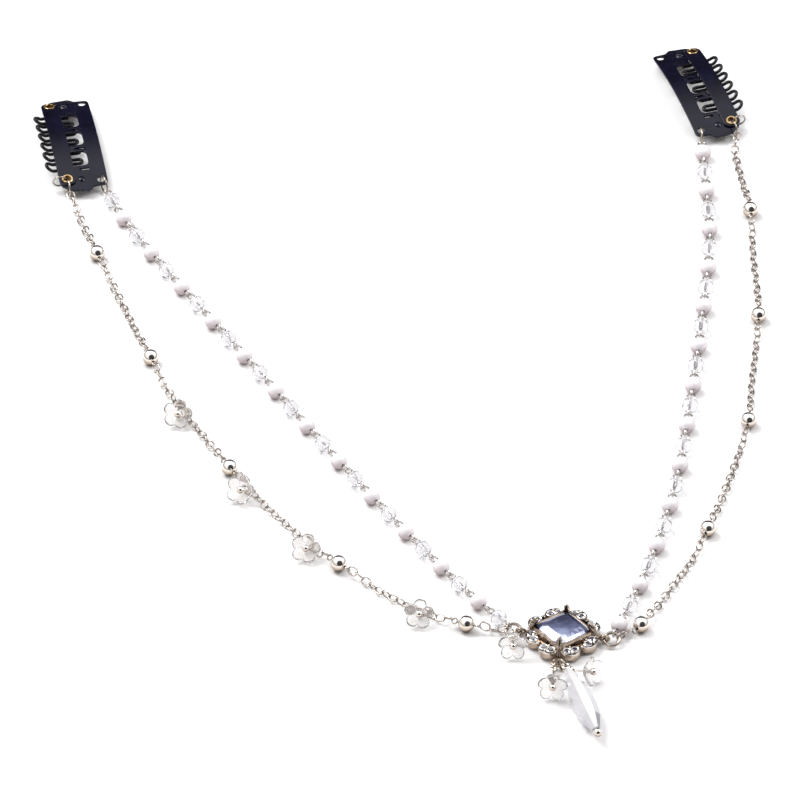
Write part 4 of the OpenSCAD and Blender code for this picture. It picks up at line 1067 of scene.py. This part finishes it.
def blossom():
    """Five cupped petals with puffy tops, one closed shell round the pin's hole."""
    cols, rows = 100, 14
    top, low = [], []
    for i in range(rows):
        t = 0.12 + 0.88 * (i / (rows - 1)) ** 0.85
        for j in range(cols):
            a = 360 * j / cols
            lobe = abs(math.cos(math.radians(2.5 * a)))
            r = PETAL_REACH * (0.7 + 0.3 * lobe ** 0.7) * t
            cup = CUP_R - math.sqrt(CUP_R ** 2 - r * r)
            puff = (1 - t ** 5) ** 0.5
            ridge = 0.22 * lobe * math.sin(math.pi * min(1, t * 1.05)) - 0.12 * (1 - lobe) * t
            mid = cup + 0.5
            x, y = polar(a, r)
            top.append((x, y, mid + (0.42 + ridge) * puff + 0.02))
            low.append((x, y, mid - 0.4 * puff))
    n, last = rows * cols, (rows - 1) * cols
    faces = grid(rows, cols) + [tuple(reversed(f)) for f in grid(rows, cols, start=n)]
    for j in range(cols):
        k = (j + 1) % cols
        faces += [(j, n + j, n + k, k), (last + j, last + k, n + last + k, n + last + j)]
    return np.array(top + low), faces


pins, rings = Soup(), Soup()
petals = blossom()
for i, (c, ax, eye, d, lax, spare, r) in enumerate(SEATS):
    fm = set_on(eye, d, lax)
    Soup().add(petals, fm @ move(0, 0, BACK + spare) @ turn("z", 18)).make(
        f"blossom_{i + 1}", flower_glass, "flower_glass", f"flower_{i + 1}", sharp=60)
    pins.add(torus(FLOWER_EYE, FLOWER_WIRE / 2, 28, 10), fm @ turn("x", 90))
    stem = [(0, 0, z) for z in np.linspace(FLOWER_EYE, BACK + spare + 1.3, 8)]
    pins.add(sweep(stem, 0.45 * FLOWER_WIRE, 10), fm)
    pins.add(ball(FLOWER_BALL, 0, 32, 18), fm @ move(0, 0, BACK + spare + 1.9))
    rings.add(torus(r, SMALL_WIRE / 2, 40, 10), set_on(c, ax, (1, 0, 0) if ax[2] > 0.5 else (0, 0, 1)))
pins.make("blossom_pins", ball_metal, "ring_metal", "flower_pins")
rings.make("blossom_rings", warm_metal, "flower_ring_metal", "flower_rings")


# ---- floor, light
def build_floor():
    me = bpy.data.meshes.new("floor")
    bm = bmesh.new()
    bmesh.ops.create_grid(bm, x_segments=8, y_segments=8, size=4.0)
    bm.to_mesh(me)
    bm.free()
    m, nt, b = shader("floor_paper")
    n = noise(nt, 3.0)
    nt.links.new(ramp(nt, n, [(0.3, (0.93, 0.93, 0.935)), (0.7, (0.95, 0.95, 0.95))]), b.inputs["Base Color"])
    b.inputs["Roughness"].default_value = 0.9
    b.inputs["Specular IOR Level"].default_value = 0.1
    me.materials.append(m)
    floor = bpy.data.objects.new("floor", me)
    bpy.context.scene.collection.objects.link(floor)


def blend(nt, factor, color, other):
    mix = nt.nodes.new("ShaderNodeMix")
    mix.data_type = "RGBA"
    nt.links.new(factor, mix.inputs["Factor"])
    nt.links.new(color, mix.inputs[6])
    mix.inputs[7].default_value = other
    return mix.outputs[2]


def build_world():
    """White studio sky, dark at the horizon, with a dark back wall and a dark patch on the near side."""
    w = bpy.data.worlds.new("studio")
    bpy.context.scene.world = w
    w.use_nodes = True
    nt = w.node_tree
    bg = nt.nodes["Background"]
    co = nt.nodes.new("ShaderNodeTexCoord")
    sky = ramp(nt, split(nt, co.outputs["Generated"], "Z"),
               [(0.0, (0.05, 0.03, 0.02)), (0.1, (0.3, 0.22, 0.17)), (0.26, (0.85, 0.8, 0.76)),
                (0.6, (1.15, 1.12, 1.1)), (1.0, (1.4, 1.4, 1.45))])
    back = remap(nt, split(nt, co.outputs["Generated"], "Y"), (0.6, 0.86), (0.0, 1.0), smooth=True)
    sky = blend(nt, back, sky, (0.04, 0.035, 0.04, 1))
    dot = nt.nodes.new("ShaderNodeVectorMath")
    dot.operation = "DOT_PRODUCT"
    dot.inputs[1].default_value = (0.25, -0.78, 0.57)
    nt.links.new(co.outputs["Generated"], dot.inputs[0])
    patch = remap(nt, dot.outputs["Value"], (0.7, 0.84), (0.0, 0.96), smooth=True)
    nt.links.new(blend(nt, patch, sky, (0.01, 0.01, 0.012, 1)), bg.inputs["Color"])
    bg.inputs["Strength"].default_value = 0.95


def area(name, loc, size, power):
    """A square lamp aimed at the origin."""
    d = bpy.data.lights.new(name, "AREA")
    d.shape = "RECTANGLE"
    d.size = d.size_y = size
    d.energy = power
    o = bpy.data.objects.new(name, d)
    bpy.context.scene.collection.objects.link(o)
    o.location = loc
    o.rotation_euler = (-Vector(loc)).to_track_quat("-Z", "Y").to_euler()


build_floor()
build_world()
area("key", (-0.7, 0.5, 1.2), 0.7, 14.0)
area("fill", (0.9, 0.2, 0.9), 0.5, 5.0)
bpy.context.scene.view_settings.view_transform = "Standard"
bpy.context.scene.view_settings.look = "None"
bpy.context.scene.view_settings.exposure = 0.0
